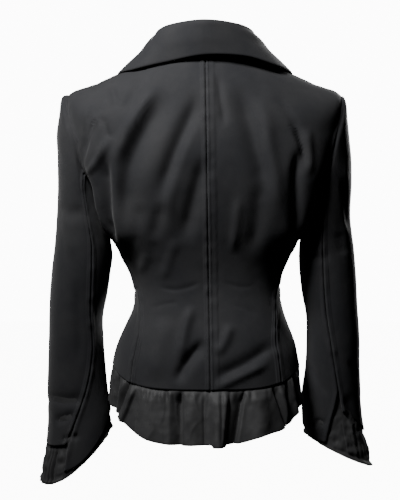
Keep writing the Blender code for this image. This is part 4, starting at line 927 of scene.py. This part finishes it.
def sleeve_grid(side, clock_low, clock_high, columns, end):
    """A sleeve panel's points and normals, between two seams and down to its end at each column.

    At its top the sleeve keeps off the armhole's cloth and follows the creases that run across the armhole.
    """
    down = np.linspace(0, 1, SLEEVE_ROWS + 1)[:, None] ** 1.15
    share = close_ends(columns, 0.75)
    at = down * end(share)
    low, high = clock_low(at), clock_high(at)
    clock = lerp(low, high, share)
    clock[:, 0] += SLEEVE_GAP_DEGREES
    clock[:, -1] -= SLEEVE_GAP_DEGREES
    points = sleeve(side, clock, at)
    clear = ARMHOLE_GAP * (1 - ease(at / GAP_SECTIONS))
    points += into_armhole(side, clock) * clear[..., None]
    seam, outward = armhole(side, clock[0])
    drawn_in = crease_heights(TRUNK_CREASES, seam, outward)
    points += outward * (drawn_in * (1 - ease(at / DRAWN_SECTIONS)))[..., None]
    return points, sleeve_normals(side, clock, at)


def vent(side, at, end, degrees):
    """How far one side of the vent stands off the seam's line at each section."""
    top = CUFFS[side].vent_top
    return degrees * np.clip((at - top) / (end - top), 0, 1)


def make_sleeve(side, word, finish):
    cuff = CUFFS[side]

    def back_line(at):
        return smooth_rows(SLEEVE_BACK_SEAM[side], at)

    def end_between(first, last, seam):
        def end(share):
            return round_clock((cuff.outer, seam, cuff.inner, cuff.front), lerp(first, last, share))

        return end

    last_seam = SLEEVE_BACK_SEAM[side][CUFF_SECTION]
    upper = sleeve_grid(
        side,
        lambda at: SLEEVE_FRONT_SEAM - 360 + 0 * at,
        lambda at: back_line(at) - vent(side, at, cuff.upper_seam, cuff.vent_upper),
        UPPER_COLUMNS,
        end_between(SLEEVE_FRONT_SEAM - 360, last_seam, cuff.upper_seam),
    )
    under = sleeve_grid(
        side,
        lambda at: back_line(at) + vent(side, at, cuff.under_seam, cuff.vent_under),
        lambda at: SLEEVE_FRONT_SEAM + 0 * at,
        UNDER_COLUMNS,
        end_between(last_seam, SLEEVE_FRONT_SEAM, cuff.under_seam),
    )
    edges = Edges(SLEEVE_ALLOWANCE, SLEEVE_ALLOWANCE, SLEEVE_ALLOWANCE, FREE)
    for kind, grid in (("sleeve_upper", upper), ("sleeve_under", under)):
        add_panel(f"{kind}_{word}", kind, finish, *grid, SLEEVE_CREASES[side], edges, SLEEVE_UNEVEN)


def fold_heights(angle, down, pleats):
    """How far folds of satin stand out, each with one flank steeper than the other."""
    total = np.zeros(np.broadcast(angle, down).shape)
    for pleat in pleats:
        off = angle - pleat.angle - pleat.lean * down
        width = pleat.width * (1 + pleat.steep * np.sign(off))
        total += pleat.height * np.exp(-((off / width) ** 2))
    return total


# The cuffs' grid, in how many sections past the cloth's end their folds, bulge and band come in, and the size
# of the band and of the fold above it.
CUFF_COLUMNS = 400
CUFF_ROWS = 48
CUFF_BULGE = 0.0012
CUFF_SEAM_RUN = 0.2
CUFF_FREE_FROM = 0.1
FOLDS_RUN = 0.35
BULGE_RUN = 0.9
BAND_RUN = 0.3
VENT_RUN = 0.8
SECTION_STEP = 0.040
BAND_DEPTH = 0.0085
BAND_FLARE = 0.0022
BAND_FOLD = 0.0014
BAND_FOLD_WIDTH = 0.0018


def make_cuff(side, name, finish):
    """A satin cuff, with its folds and a turned band at its edge wherever it is clear of the cloth."""
    clock = np.linspace(0, 360, CUFF_COLUMNS, endpoint=False)[None, :]
    down = np.linspace(0, 1, CUFF_ROWS + 1)[:, None]
    at = lerp(CUFF_TOP, round_clock(CUFF_REACH[side], clock), down)
    clock = np.repeat(clock, CUFF_ROWS + 1, axis=0)
    cloth = CUFFS[side]
    over = round_clock((cloth.outer, cloth.upper_seam, cloth.inner, cloth.front), clock)
    under = round_clock((cloth.outer, cloth.under_seam, cloth.inner, cloth.front), clock)
    on_under = (clock > SLEEVE_BACK_SEAM[side][CUFF_SECTION]) & (clock < SLEEVE_FRONT_SEAM)
    free = at - np.where(on_under, under, over) - CUFF_FREE_FROM
    turned = (clock + 90) % 360 - 90
    folds = fold_heights(turned, down, CUFF_PLEATS[side]) * ease(free / FOLDS_RUN)
    to_end = (round_clock(CUFF_REACH[side], clock) - at) * SECTION_STEP
    band = BAND_FLARE * (1 - ease(to_end / BAND_DEPTH))
    band = band - BAND_FOLD * np.exp(-(((to_end - BAND_DEPTH) / BAND_FOLD_WIDTH) ** 2))
    inset = folds - lerp(CUFF_SEAM_INSET, CUFF_INSET, ease(down / CUFF_SEAM_RUN))
    inset = inset + CUFF_BULGE * ease(free / BULGE_RUN)
    inset = inset + band * ease(free / BAND_RUN)
    normals = sleeve_normals(side, clock, at)
    points = sleeve(side, clock, at) + normals * inset[..., None]
    open_here = ease((at - cloth.vent_top) / VENT_RUN)
    out = normals * open_here[..., None]
    points = crumpled(points, out, CUFF_UNEVEN)
    points = creased_satin(points, out, CUFF_CREASED)
    outward = side * grid_normals(points, ring=True)
    add_sheet(name, finish, points, outward, SATIN, ring=True)


# The ruffle's grid, the puckers under its seam, how its folds begin there and calm down towards the front
# edges, and how it starts behind the hem.
RUFFLE_COLUMNS = 800
RUFFLE_ROWS = 44
GATHER_DEGREES = 4.4
GATHER_HEIGHT = 0.0015
GATHER_PLACE = 0.11
GATHER_REACH = 0.10
GATHER_SEED = 14
GATHER_WANDER = 1.6
WANDER_SEED = 11
FOLD_AT_SEAM = 0.15
FOLD_RUN = 0.25
CALM_FROM = 168
CALM_RUN = 9
CREASED_FROM = 0.12
STRIP_EDGE = 0.7
LAP_FLARE = 0.0020
RUFFLE_END = 0.86
RUFFLE_UNDER_HEM = 0.08
RUFFLE_BEHIND_HEM = 0.0011
TUCK_ROWS = 4


def gather_heights(angle, down):
    """Small uneven puckers just under the ruffle's seam, from about -1 to 1."""
    flat = np.zeros(np.broadcast(angle, down).shape)
    wander = GATHER_WANDER * noise(np.stack([angle / 9 + flat, 3 * down + flat, flat], -1), 1.0, WANDER_SEED)
    uneven = 0.55 + 0.75 * noise(np.stack([angle / 6 + flat, flat, flat], -1), 1.0, GATHER_SEED)
    gathers = np.cos(2 * np.pi * (angle + wander) / GATHER_DEGREES) * np.clip(uneven, 0, 1.3)
    return gathers * np.exp(-(((down - GATHER_PLACE) / GATHER_REACH) ** 2))


def make_ruffle(name, finish):
    """The gathered ruffle, which hangs from the hem and ends calmly at the front edges."""
    end = 180 + math.degrees(OVERLAP / TRUNK[0].half_width) * RUFFLE_END
    angle = np.linspace(-end, end, RUFFLE_COLUMNS + 1)[None, :]
    down = np.linspace(0, 1, RUFFLE_ROWS + 1)[:, None]
    hem = np.zeros_like(angle)
    top = trunk(angle, hem)
    outward = trunk_normals(angle, hem)
    top = top + outward * crease_heights(TRUNK_CREASES, top, outward)[..., None]
    outward[..., 2] = 0
    outward = unit(outward)
    side = np.sign(angle)
    hang = smooth_rows(RUFFLE_HANG, np.abs(angle) / 15)
    flare, strength = hang[..., 0], hang[..., 1]
    depth = smooth_rows(RUFFLE_DEPTHS, 12 + angle / 15)
    for strip in LOWER_STRIPS:
        inside = ease((angle - strip.start) / STRIP_EDGE) * (1 - ease((angle - strip.end) / STRIP_EDGE))
        depth = depth + strip.longer * inside
    lap = ease((LAP_FROM - top[..., 0] * side) / (LAP_FROM - LAP_TO)) * (np.abs(angle) > 90)
    calm = 1 - ease((np.abs(angle) - CALM_FROM) / CALM_RUN)
    clear = ease(down / RUFFLE_UNDER_HEM)
    folds = fold_heights(angle, down, PLEATS) * lerp(FOLD_AT_SEAM, 1, ease(down / FOLD_RUN))
    raised = (folds + GATHER_HEIGHT * gather_heights(angle, down)) * calm * strength * clear
    raised = raised - RUFFLE_BEHIND_HEM * (1 - clear)
    out = flare * down + raised + side * lap * (LAP + LAP_FLARE * down)
    points = top + outward * out[..., None]
    points[..., 2] -= depth * down
    points = crumpled(points, outward, RUFFLE_UNEVEN)
    points = creased_satin(points, outward * (ease(down / CREASED_FROM) * calm)[..., None], RUFFLE_CREASED)
    tuck = np.linspace(1, 0, TUCK_ROWS + 1)[:-1, None, None]
    tucked = points[:1] - tuck * (outward[:1] * RUFFLE_INSET - np.array([0, 0, RUFFLE_TUCK]))
    points = np.concatenate([tucked, points])
    normals = grid_normals(points)
    points, thick = finished_edges(points, normals, Edges(FREE, FREE, PLAIN, FREE))
    add_sheet(name, finish, points, normals, thick * SATIN)


def collar_sections():
    """The collar's sections from the centre back to its front end: seam, fold, middle and edge points."""
    angles = [row.seam for row in COLLAR] + [COLLAR_END_ANGLE]
    angles, level = np.array(angles, float), np.full(len(angles), NECK)
    set_in = trunk_normals(angles, level) * (CLOTH + COLLAR_CLOTH) * COLLAR_INSIDE
    seam = trunk(angles, level - COLLAR_SEAT) - set_in
    lifts = np.array([LAPEL_LIFT + LAPEL_ROLL, LAPEL_LIFT + COLLAR_BULGE, LAPEL_LIFT])
    ends = np.array([GORGE_TOP, GORGE_LOW, COLLAR_POINT])
    end_points = on_front(1, ends[:, 0], ends[:, 1] + GORGE_GAP, lifts)
    columns = np.array(COLLAR)[:, 1:].reshape(len(COLLAR), 3, 3)
    fold, middle, edge = np.moveaxis(np.concatenate([columns, end_points[None]]), 1, 0)
    return seam, fold, middle, edge


# The collar's grid, and over how many sections its lean on the left comes in.
COLLAR_COLUMNS = 150
COLLAR_ROWS = 48
LEAN_RUN = 1.2


def end_to_end(column, odd=False):
    """A column of the collar's sections from its left end, round the back, to its right end."""
    mirrored = -column[:0:-1] if odd else column[:0:-1]
    if column.ndim > 1:
        mirrored = mirrored * (-1, 1, 1)
    return np.concatenate([mirrored, column])


def make_collar(name, finish):
    """The collar stands up from the neck seam, turns over at its fold and falls to its edge."""
    places = np.linspace(0, 2 * len(COLLAR), COLLAR_COLUMNS + 1)
    seam, fold, middle, edge = (smooth_rows(end_to_end(column), places) for column in collar_sections())
    on_left = ease(0.5 - (places - len(COLLAR)) / LEAN_RUN)
    tilt = smooth_rows(end_to_end(np.array(COLLAR_TILT), odd=True), places)
    closer = smooth_rows(end_to_end(np.array(COLLAR_LEANS_IN)), places) * on_left
    edge[:, 2] += tilt
    edge[:, 1] += closer
    middle[:, 2] += 0.5 * tilt
    middle[:, 1] += 0.4 * closer
    away = edge - fold
    away[:, 2] = 0
    away = unit(away)
    up = np.array([0, 0, 1.0])
    rows = [
        seam,
        lerp(seam, fold, 0.5),
        lerp(seam, fold, 0.92),
        fold + away * COLLAR_ROLL + up * COLLAR_ROLL / 2,
        fold + away * 2 * COLLAR_ROLL - up * COLLAR_ROLL,
        lerp(fold + away * 2 * COLLAR_ROLL, middle, 0.5) + up * COLLAR_BULGE,
        middle,
        lerp(middle, edge, 0.5) + up * COLLAR_BULGE,
        edge,
    ]
    coarse = np.array(rows).reshape(len(rows), -1)
    points = smooth_rows(coarse, np.linspace(0, len(rows) - 1, COLLAR_ROWS + 1))
    points = points.reshape(COLLAR_ROWS + 1, -1, 3)
    outward = grid_normals(points)
    points, thick = finished_edges(points, outward, Edges(FREE, FREE, PLAIN, FREE))
    add_sheet(name, finish, points, outward, thick * COLLAR_CLOTH)


# The lapels' grid, how high they lie on the front, and how their roll rises above that from the break up.
LAPEL_ROWS = 96
LAPEL_COLUMNS = 48
ROLL_COLUMNS = 14
LAPEL_LIES = 0.0030
LAPEL_ROLL_HEIGHT = 0.0045
OPENS_OVER = 0.25


def make_lapel(side, name, finish):
    """A lapel rolls out of its front's edge and lies over it. The left one stops at the right one's roll."""
    up = np.linspace(0.0, 1, LAPEL_ROWS + 1)[:, None]
    flat_out = close_ends(LAPEL_COLUMNS, 0.5)[1:]
    turn = np.concatenate([np.linspace(0, 180, ROLL_COLUMNS + 1), np.full(LAPEL_COLUMNS, 180.0)])[None, :]
    out = np.concatenate([np.zeros(ROLL_COLUMNS + 1), flat_out])[None, :]
    inner_z = lerp(BREAK_Z, GORGE_TOP[1], up)
    inner_x = roll_x(inner_z)
    if side < 0:
        inner_x = np.maximum(inner_x, LAPEL_MEETS - inner_x)
    foot_x = inner_x[0, 0] + LAPEL_FOOT
    outer_x = (1 - up) ** 2 * foot_x + 2 * up * (1 - up) * LAPEL_BELLY[0] + up**2 * LAPEL_POINT[0]
    outer_z = (1 - up) ** 2 * BREAK_Z + 2 * up * (1 - up) * LAPEL_BELLY[1] + up**2 * LAPEL_POINT[1]
    x = lerp(inner_x, outer_x, out)
    z = lerp(inner_z, outer_z, out)
    bend = np.clip(out / 0.5, 0, 1)
    rest = np.clip((out - 0.5) / 0.5, 0, 1)
    gorge_x = lerp(lerp(GORGE_TOP[0], GORGE_LOW[0], bend), LAPEL_POINT[0], rest)
    gorge_z = lerp(lerp(GORGE_TOP[1], GORGE_LOW[1], bend), LAPEL_POINT[1], rest)
    x = x + (gorge_x - lerp(GORGE_TOP[0], LAPEL_POINT[0], out)) * up**3
    z = z + (gorge_z - lerp(GORGE_TOP[1], LAPEL_POINT[1], out)) * up**3
    opened = ease(up / OPENS_OVER)
    full = lerp(LAPEL_LIES, LAPEL_LIES + LAPEL_ROLL_HEIGHT * opened, (1 - out) ** 3)
    reach = full / 2 * np.sin(np.radians(turn))
    lift = full * (1 - np.cos(np.radians(turn))) / 2
    points = on_front(side, x - reach, z, lift)
    outward = -side * grid_normals(points)
    points, thick = finished_edges(points, outward, Edges(PLAIN, FREE, FREE, FREE))
    add_sheet(name, finish, points, outward, thick * CLOTH)


# A button's grid, its dished middle and its rounded edges, and its holes and thread.
BUTTON_SPOKES = 72
BUTTON_RINGS = 40
BUTTON_DISH = 0.0009
BUTTON_ROUND = 0.0012
RIM_RISE = 0.0001
BACK_ROUND = 0.0004
HOLE_OUT = 0.0016
HOLE_RADIUS = 0.0008
HOLE_DEPTH = 0.0016
THREAD_RADIUS = 0.0005
THREAD_HEIGHT = 0.0006


def make_button(name, finish):
    """A four-hole button with a rolled rim and a dished middle, in the place of its solid."""
    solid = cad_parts[name]
    corners = np.array([solid.matrix_world @ vertex.co for vertex in solid.data.vertices])
    centre = (corners.min(axis=0) + corners.max(axis=0)) / 2
    axis = np.linalg.svd(corners - corners.mean(axis=0), full_matrices=False)[2][2]
    axis = axis * np.sign(axis[1])
    right = unit(np.cross(axis, (0, 0, 1.0)))
    up = np.cross(right, axis)
    turn = np.linspace(0, 2 * np.pi, BUTTON_SPOKES, endpoint=False)[None, :]
    out = np.concatenate([np.linspace(0.02, 1, BUTTON_RINGS), [1.0, 0.96, 0.5, 0.02]])[:, None]
    radius = np.minimum(BUTTON_RADIUS * out, BUTTON_RADIUS - RIM_RISE)
    x, y = radius * np.cos(turn), radius * np.sin(turn)
    half = BUTTON_THICK / 2
    rim = RIM_RISE * (1 - ((out - 0.84) / 0.16) ** 2) * (out > 0.7)
    height = half - BUTTON_DISH * ease((0.80 - out) / 0.12) - BUTTON_ROUND * ease((out - 0.9) / 0.1) + rim
    height = height + np.zeros_like(x)
    for across, along in itertools.product((-1, 1), repeat=2):
        away = np.hypot(x - across * HOLE_OUT, y - along * HOLE_OUT)
        height -= HOLE_DEPTH * ease((HOLE_RADIUS * 1.25 - away) / (HOLE_RADIUS * 0.5))
    for off in (-HOLE_OUT, HOLE_OUT):
        lift = THREAD_RADIUS**2 - (x - off) ** 2
        on_thread = (lift > 0) & (np.abs(y) < HOLE_OUT)
        height += np.where(on_thread, THREAD_HEIGHT + np.sqrt(np.maximum(lift, 0)), 0)
    height[BUTTON_RINGS:] = [[0.0], [-half + BACK_ROUND], [-half], [-half]]
    points = centre + x[..., None] * right + y[..., None] * up + height[..., None] * axis
    rows, columns = x.shape
    i, j = np.meshgrid(np.arange(rows - 1), np.arange(columns), indexing="ij")
    k = (j + 1) % columns
    faces = np.stack([i * columns + j, (i + 1) * columns + j, (i + 1) * columns + k, i * columns + k], -1)
    faces = faces.reshape(-1, 4).tolist()
    faces.append(list(range(columns)))
    faces.append(list(range((rows - 1) * columns, rows * columns))[::-1])
    mesh = bpy.data.meshes.new(f"{name}_{finish.word}")
    mesh.from_pydata(points.reshape(-1, 3).tolist(), [], faces)
    mesh.shade_smooth()
    add_piece(mesh, finish, name)


def new_material(name, colour, roughness):
    material = bpy.data.materials.new(name)
    material.use_nodes = True
    shader = material.node_tree.nodes["Principled BSDF"]
    shader.inputs["Base Color"].default_value = (*colour, 1)
    shader.inputs["Roughness"].default_value = roughness
    return material, material.node_tree, shader


def node(tree, kind, **inputs):
    """A node with its inputs set by name, or linked where the value is a socket."""
    made = tree.nodes.new(kind)
    for key, value in inputs.items():
        socket = made.inputs[key.replace("_", " ")]
        if isinstance(value, bpy.types.NodeSocket):
            tree.links.new(value, socket)
        else:
            socket.default_value = value
    return made


def tone_ramp(tree, value, low, high):
    """A colour between two tones, each a place on the ramp and its colour, as the value says."""
    ramp = tree.nodes.new("ShaderNodeValToRGB")
    for stop, (place, tone) in zip(ramp.color_ramp.elements, (low, high)):
        stop.position = place
        stop.color = (*tone, 1)
    tree.links.new(value, ramp.inputs["Fac"])
    return ramp.outputs["Color"]


def bumped(tree, shader, coarse, fine):
    """The shader's normal raised by two textures, each given as its value, its strength and its height."""
    normal = None
    for value, strength, distance in (coarse, fine):
        bump = node(tree, "ShaderNodeBump", Strength=strength, Distance=distance, Height=value)
        if normal:
            tree.links.new(normal, bump.inputs["Normal"])
        normal = bump.outputs["Normal"]
    tree.links.new(normal, shader.inputs["Normal"])


def noise_at(tree, place, scale, detail, roughness=0.6):
    """The value of a noise texture at a place."""
    texture = node(tree, "ShaderNodeTexNoise", Vector=place, Scale=scale, Detail=detail, Roughness=roughness)
    return texture.outputs["Fac"]


def cloth_places(tree):
    """Places on the cloth: along its own lengths, and in the object."""
    uv = tree.nodes.new("ShaderNodeUVMap")
    uv.uv_map = "cloth"
    return uv.outputs["UV"], tree.nodes.new("ShaderNodeTexCoord").outputs["Object"]


def cloth_material():
    """Black wool and cotton cloth: a fine twill, a soft nap and slightly faded patches."""
    material, tree, shader = new_material("black_cloth", (0.020, 0.020, 0.022), 0.8)
    shader.inputs["Specular IOR Level"].default_value = 0.30
    shader.inputs["Sheen Weight"].default_value = 0.10
    shader.inputs["Sheen Roughness"].default_value = 0.5
    along, place = cloth_places(tree)
    turned = node(tree, "ShaderNodeMapping", Vector=along, Rotation=(0, 0, math.radians(55)))
    diagonal = turned.outputs["Vector"]
    twill = node(tree, "ShaderNodeTexWave", Vector=diagonal, Scale=360.0, Distortion=1.5, Detail=1.0)
    nap = noise_at(tree, place, 1400.0, 3.0, 0.7)
    faded = noise_at(tree, place, 14.0, 4.0)
    tones = tone_ramp(tree, faded, (0.35, (0.0145, 0.0150, 0.0178)), (0.70, (0.0255, 0.0255, 0.0272)))
    spread = {"From_Min": 0.3, "From_Max": 0.75, "To_Min": 0.72, "To_Max": 1.35}
    flecks = node(tree, "ShaderNodeMapRange", Value=nap, **spread)
    mixed = node(tree, "ShaderNodeVectorMath")
    mixed.operation = "SCALE"
    tree.links.new(tones, mixed.inputs[0])
    tree.links.new(flecks.outputs["Result"], mixed.inputs["Scale"])
    tree.links.new(mixed.outputs["Vector"], shader.inputs["Base Color"])
    bumped(tree, shader, (twill.outputs["Fac"], 0.25, 0.0003), (nap, 0.30, 0.0004))
    return material


def satin_material():
    """Charcoal satin: fine crosswise ribs, small crinkles and a soft gloss."""
    material, tree, shader = new_material("black_satin", (0.054, 0.054, 0.054), 0.60)
    shader.inputs["Specular IOR Level"].default_value = 0.25
    shader.inputs["Sheen Weight"].default_value = 0.05
    along, place = cloth_places(tree)
    ribs = node(tree, "ShaderNodeTexWave", Vector=along, Scale=520.0, Distortion=0.6, Detail=1.0)
    ribs.bands_direction = "Y"
    crinkle = noise_at(tree, place, 85.0, 5.0)
    shade = noise_at(tree, place, 30.0, 3.0)
    tones = tone_ramp(tree, shade, (0.3, (0.030, 0.030, 0.031)), (0.72, (0.048, 0.048, 0.049)))
    tree.links.new(tones, shader.inputs["Base Color"])
    bumped(tree, shader, (ribs.outputs["Fac"], 0.20, 0.0002), (crinkle, 0.25, 0.0012))
    return material


def button_material():
    """Black resin with a faint grain and a soft gloss."""
    material, tree, shader = new_material("black_button", (0.012, 0.012, 0.012), 0.28)
    grain = noise_at(tree, tree.nodes.new("ShaderNodeTexCoord").outputs["Object"], 420.0, 4.0)
    rough = node(tree, "ShaderNodeMapRange", Value=grain, To_Min=0.20, To_Max=0.42)
    tree.links.new(rough.outputs["Result"], shader.inputs["Roughness"])
    return material


def stage_material():
    material, tree, shader = new_material("pale_floor", (0.86, 0.86, 0.85), 0.9)
    grain = node(tree, "ShaderNodeTexNoise", Scale=6.0, Detail=3.0)
    tones = tone_ramp(tree, grain.outputs["Fac"], (0.0, (0.84, 0.84, 0.83)), (1.0, (0.88, 0.88, 0.87)))
    tree.links.new(tones, shader.inputs["Base Color"])
    return material


def make_camera():
    data = bpy.data.cameras.new("camera")
    data.lens = CAMERA_LENS
    data.sensor_width = CAMERA_SENSOR
    camera = link_new("camera", data)
    camera.location = CAMERA_PLACE
    camera.rotation_euler = (math.radians(90), 0, 0)
    bpy.context.scene.camera = camera


def make_stage():
    """A pale floor well below the garment. It throws no light back on the garment."""
    mesh = bpy.data.meshes.new("floor")
    corners = [(x * FLOOR_HALF, y * FLOOR_HALF, FLOOR_Z) for x, y in ((-1, -1), (1, -1), (1, 1), (-1, 1))]
    mesh.from_pydata(corners, [], [(0, 1, 2, 3)])
    mesh.materials.append(stage_material())
    floor = link_new("floor", mesh)
    floor.visible_diffuse = False
    floor.visible_glossy = False
    return floor


# Round lamps: where each stands and points, the disc's size, the degrees it spreads to and its power.
Lamp = namedtuple("Lamp", "name place aim size spread power")
LAMPS = [
    Lamp("key", (-0.50, -0.64, 0.72), (-0.03, -0.10, -0.14), 0.36, 90, 6.3),
    Lamp("fill", (-0.30, -2.20, 0.00), (0.0, 0.0, -0.3), 1.0, 180, 0.35),
    Lamp("front_key", (0.75, 1.15, 0.10), (0.0, 0.05, -0.22), 0.45, 110, 7.0),
    Lamp("front_fill", (-1.4, 1.5, -0.2), (0.0, 0.0, -0.3), 1.4, 180, 3.0),
]
FLOOR_SUN = 44.0
FLOOR_SUN_DEGREES = 50


def make_lights(floor):
    """Soft lamps on both faces of the garment, and one sun that lights the floor alone."""
    for lamp in LAMPS:
        data = bpy.data.lights.new(lamp.name, "AREA")
        data.shape = "DISK"
        data.size = lamp.size
        data.spread = math.radians(lamp.spread)
        data.energy = lamp.power
        light = link_new(lamp.name, data)
        light.location = lamp.place
        toward = Vector(lamp.aim) - Vector(lamp.place)
        light.rotation_euler = toward.to_track_quat("-Z", "Y").to_euler()
    data = bpy.data.lights.new("floor_sun", "SUN")
    data.energy = FLOOR_SUN
    data.angle = math.radians(FLOOR_SUN_DEGREES)
    sun = link_new("floor_sun", data)
    lit = bpy.data.collections.new("lit_by_floor_sun")
    lit.objects.link(floor)
    sun.light_linking.receiver_collection = lit


def make_world():
    """A pale surround for the camera, and a dimmer one as light."""
    world = bpy.data.worlds.new("surround")
    world.use_nodes = True
    tree = world.node_tree
    tree.nodes.clear()
    out = tree.nodes.new("ShaderNodeOutputWorld")
    rays = tree.nodes.new("ShaderNodeLightPath")
    seen = node(tree, "ShaderNodeBackground", Color=(1.0, 1.0, 1.0, 1), Strength=SURROUND_SEEN)
    lit = node(tree, "ShaderNodeBackground", Color=(0.95, 0.97, 1.0, 1), Strength=SURROUND_LIGHT)
    mix = tree.nodes.new("ShaderNodeMixShader")
    tree.links.new(rays.outputs["Is Camera Ray"], mix.inputs[0])
    tree.links.new(lit.outputs[0], mix.inputs[1])
    tree.links.new(seen.outputs[0], mix.inputs[2])
    tree.links.new(mix.outputs[0], out.inputs["Surface"])
    bpy.context.scene.world = world


def main():
    make_camera()
    make_world()
    floor = make_stage()
    make_lights(floor)
    cloth = Finish("cloth", "black_cloth", cloth_material())
    satin = Finish("satin", "black_satin", satin_material())
    button = Finish("four_holes", "black_button", button_material())
    for side, word in ((1, "right"), (-1, "left")):
        make_back(side, f"back_{word}", cloth)
        make_side(side, f"side_{word}", cloth)
        make_front(side, f"front_{word}", cloth)
        make_lapel(side, f"lapel_{word}", cloth)
        make_sleeve(side, word, cloth)
        make_cuff(side, f"cuff_{word}", satin)
    make_collar("collar", cloth)
    make_ruffle("hem_ruffle", satin)
    for number in range(1, BUTTON_COUNT + 1):
        make_button(f"button_{number}", button)


main()
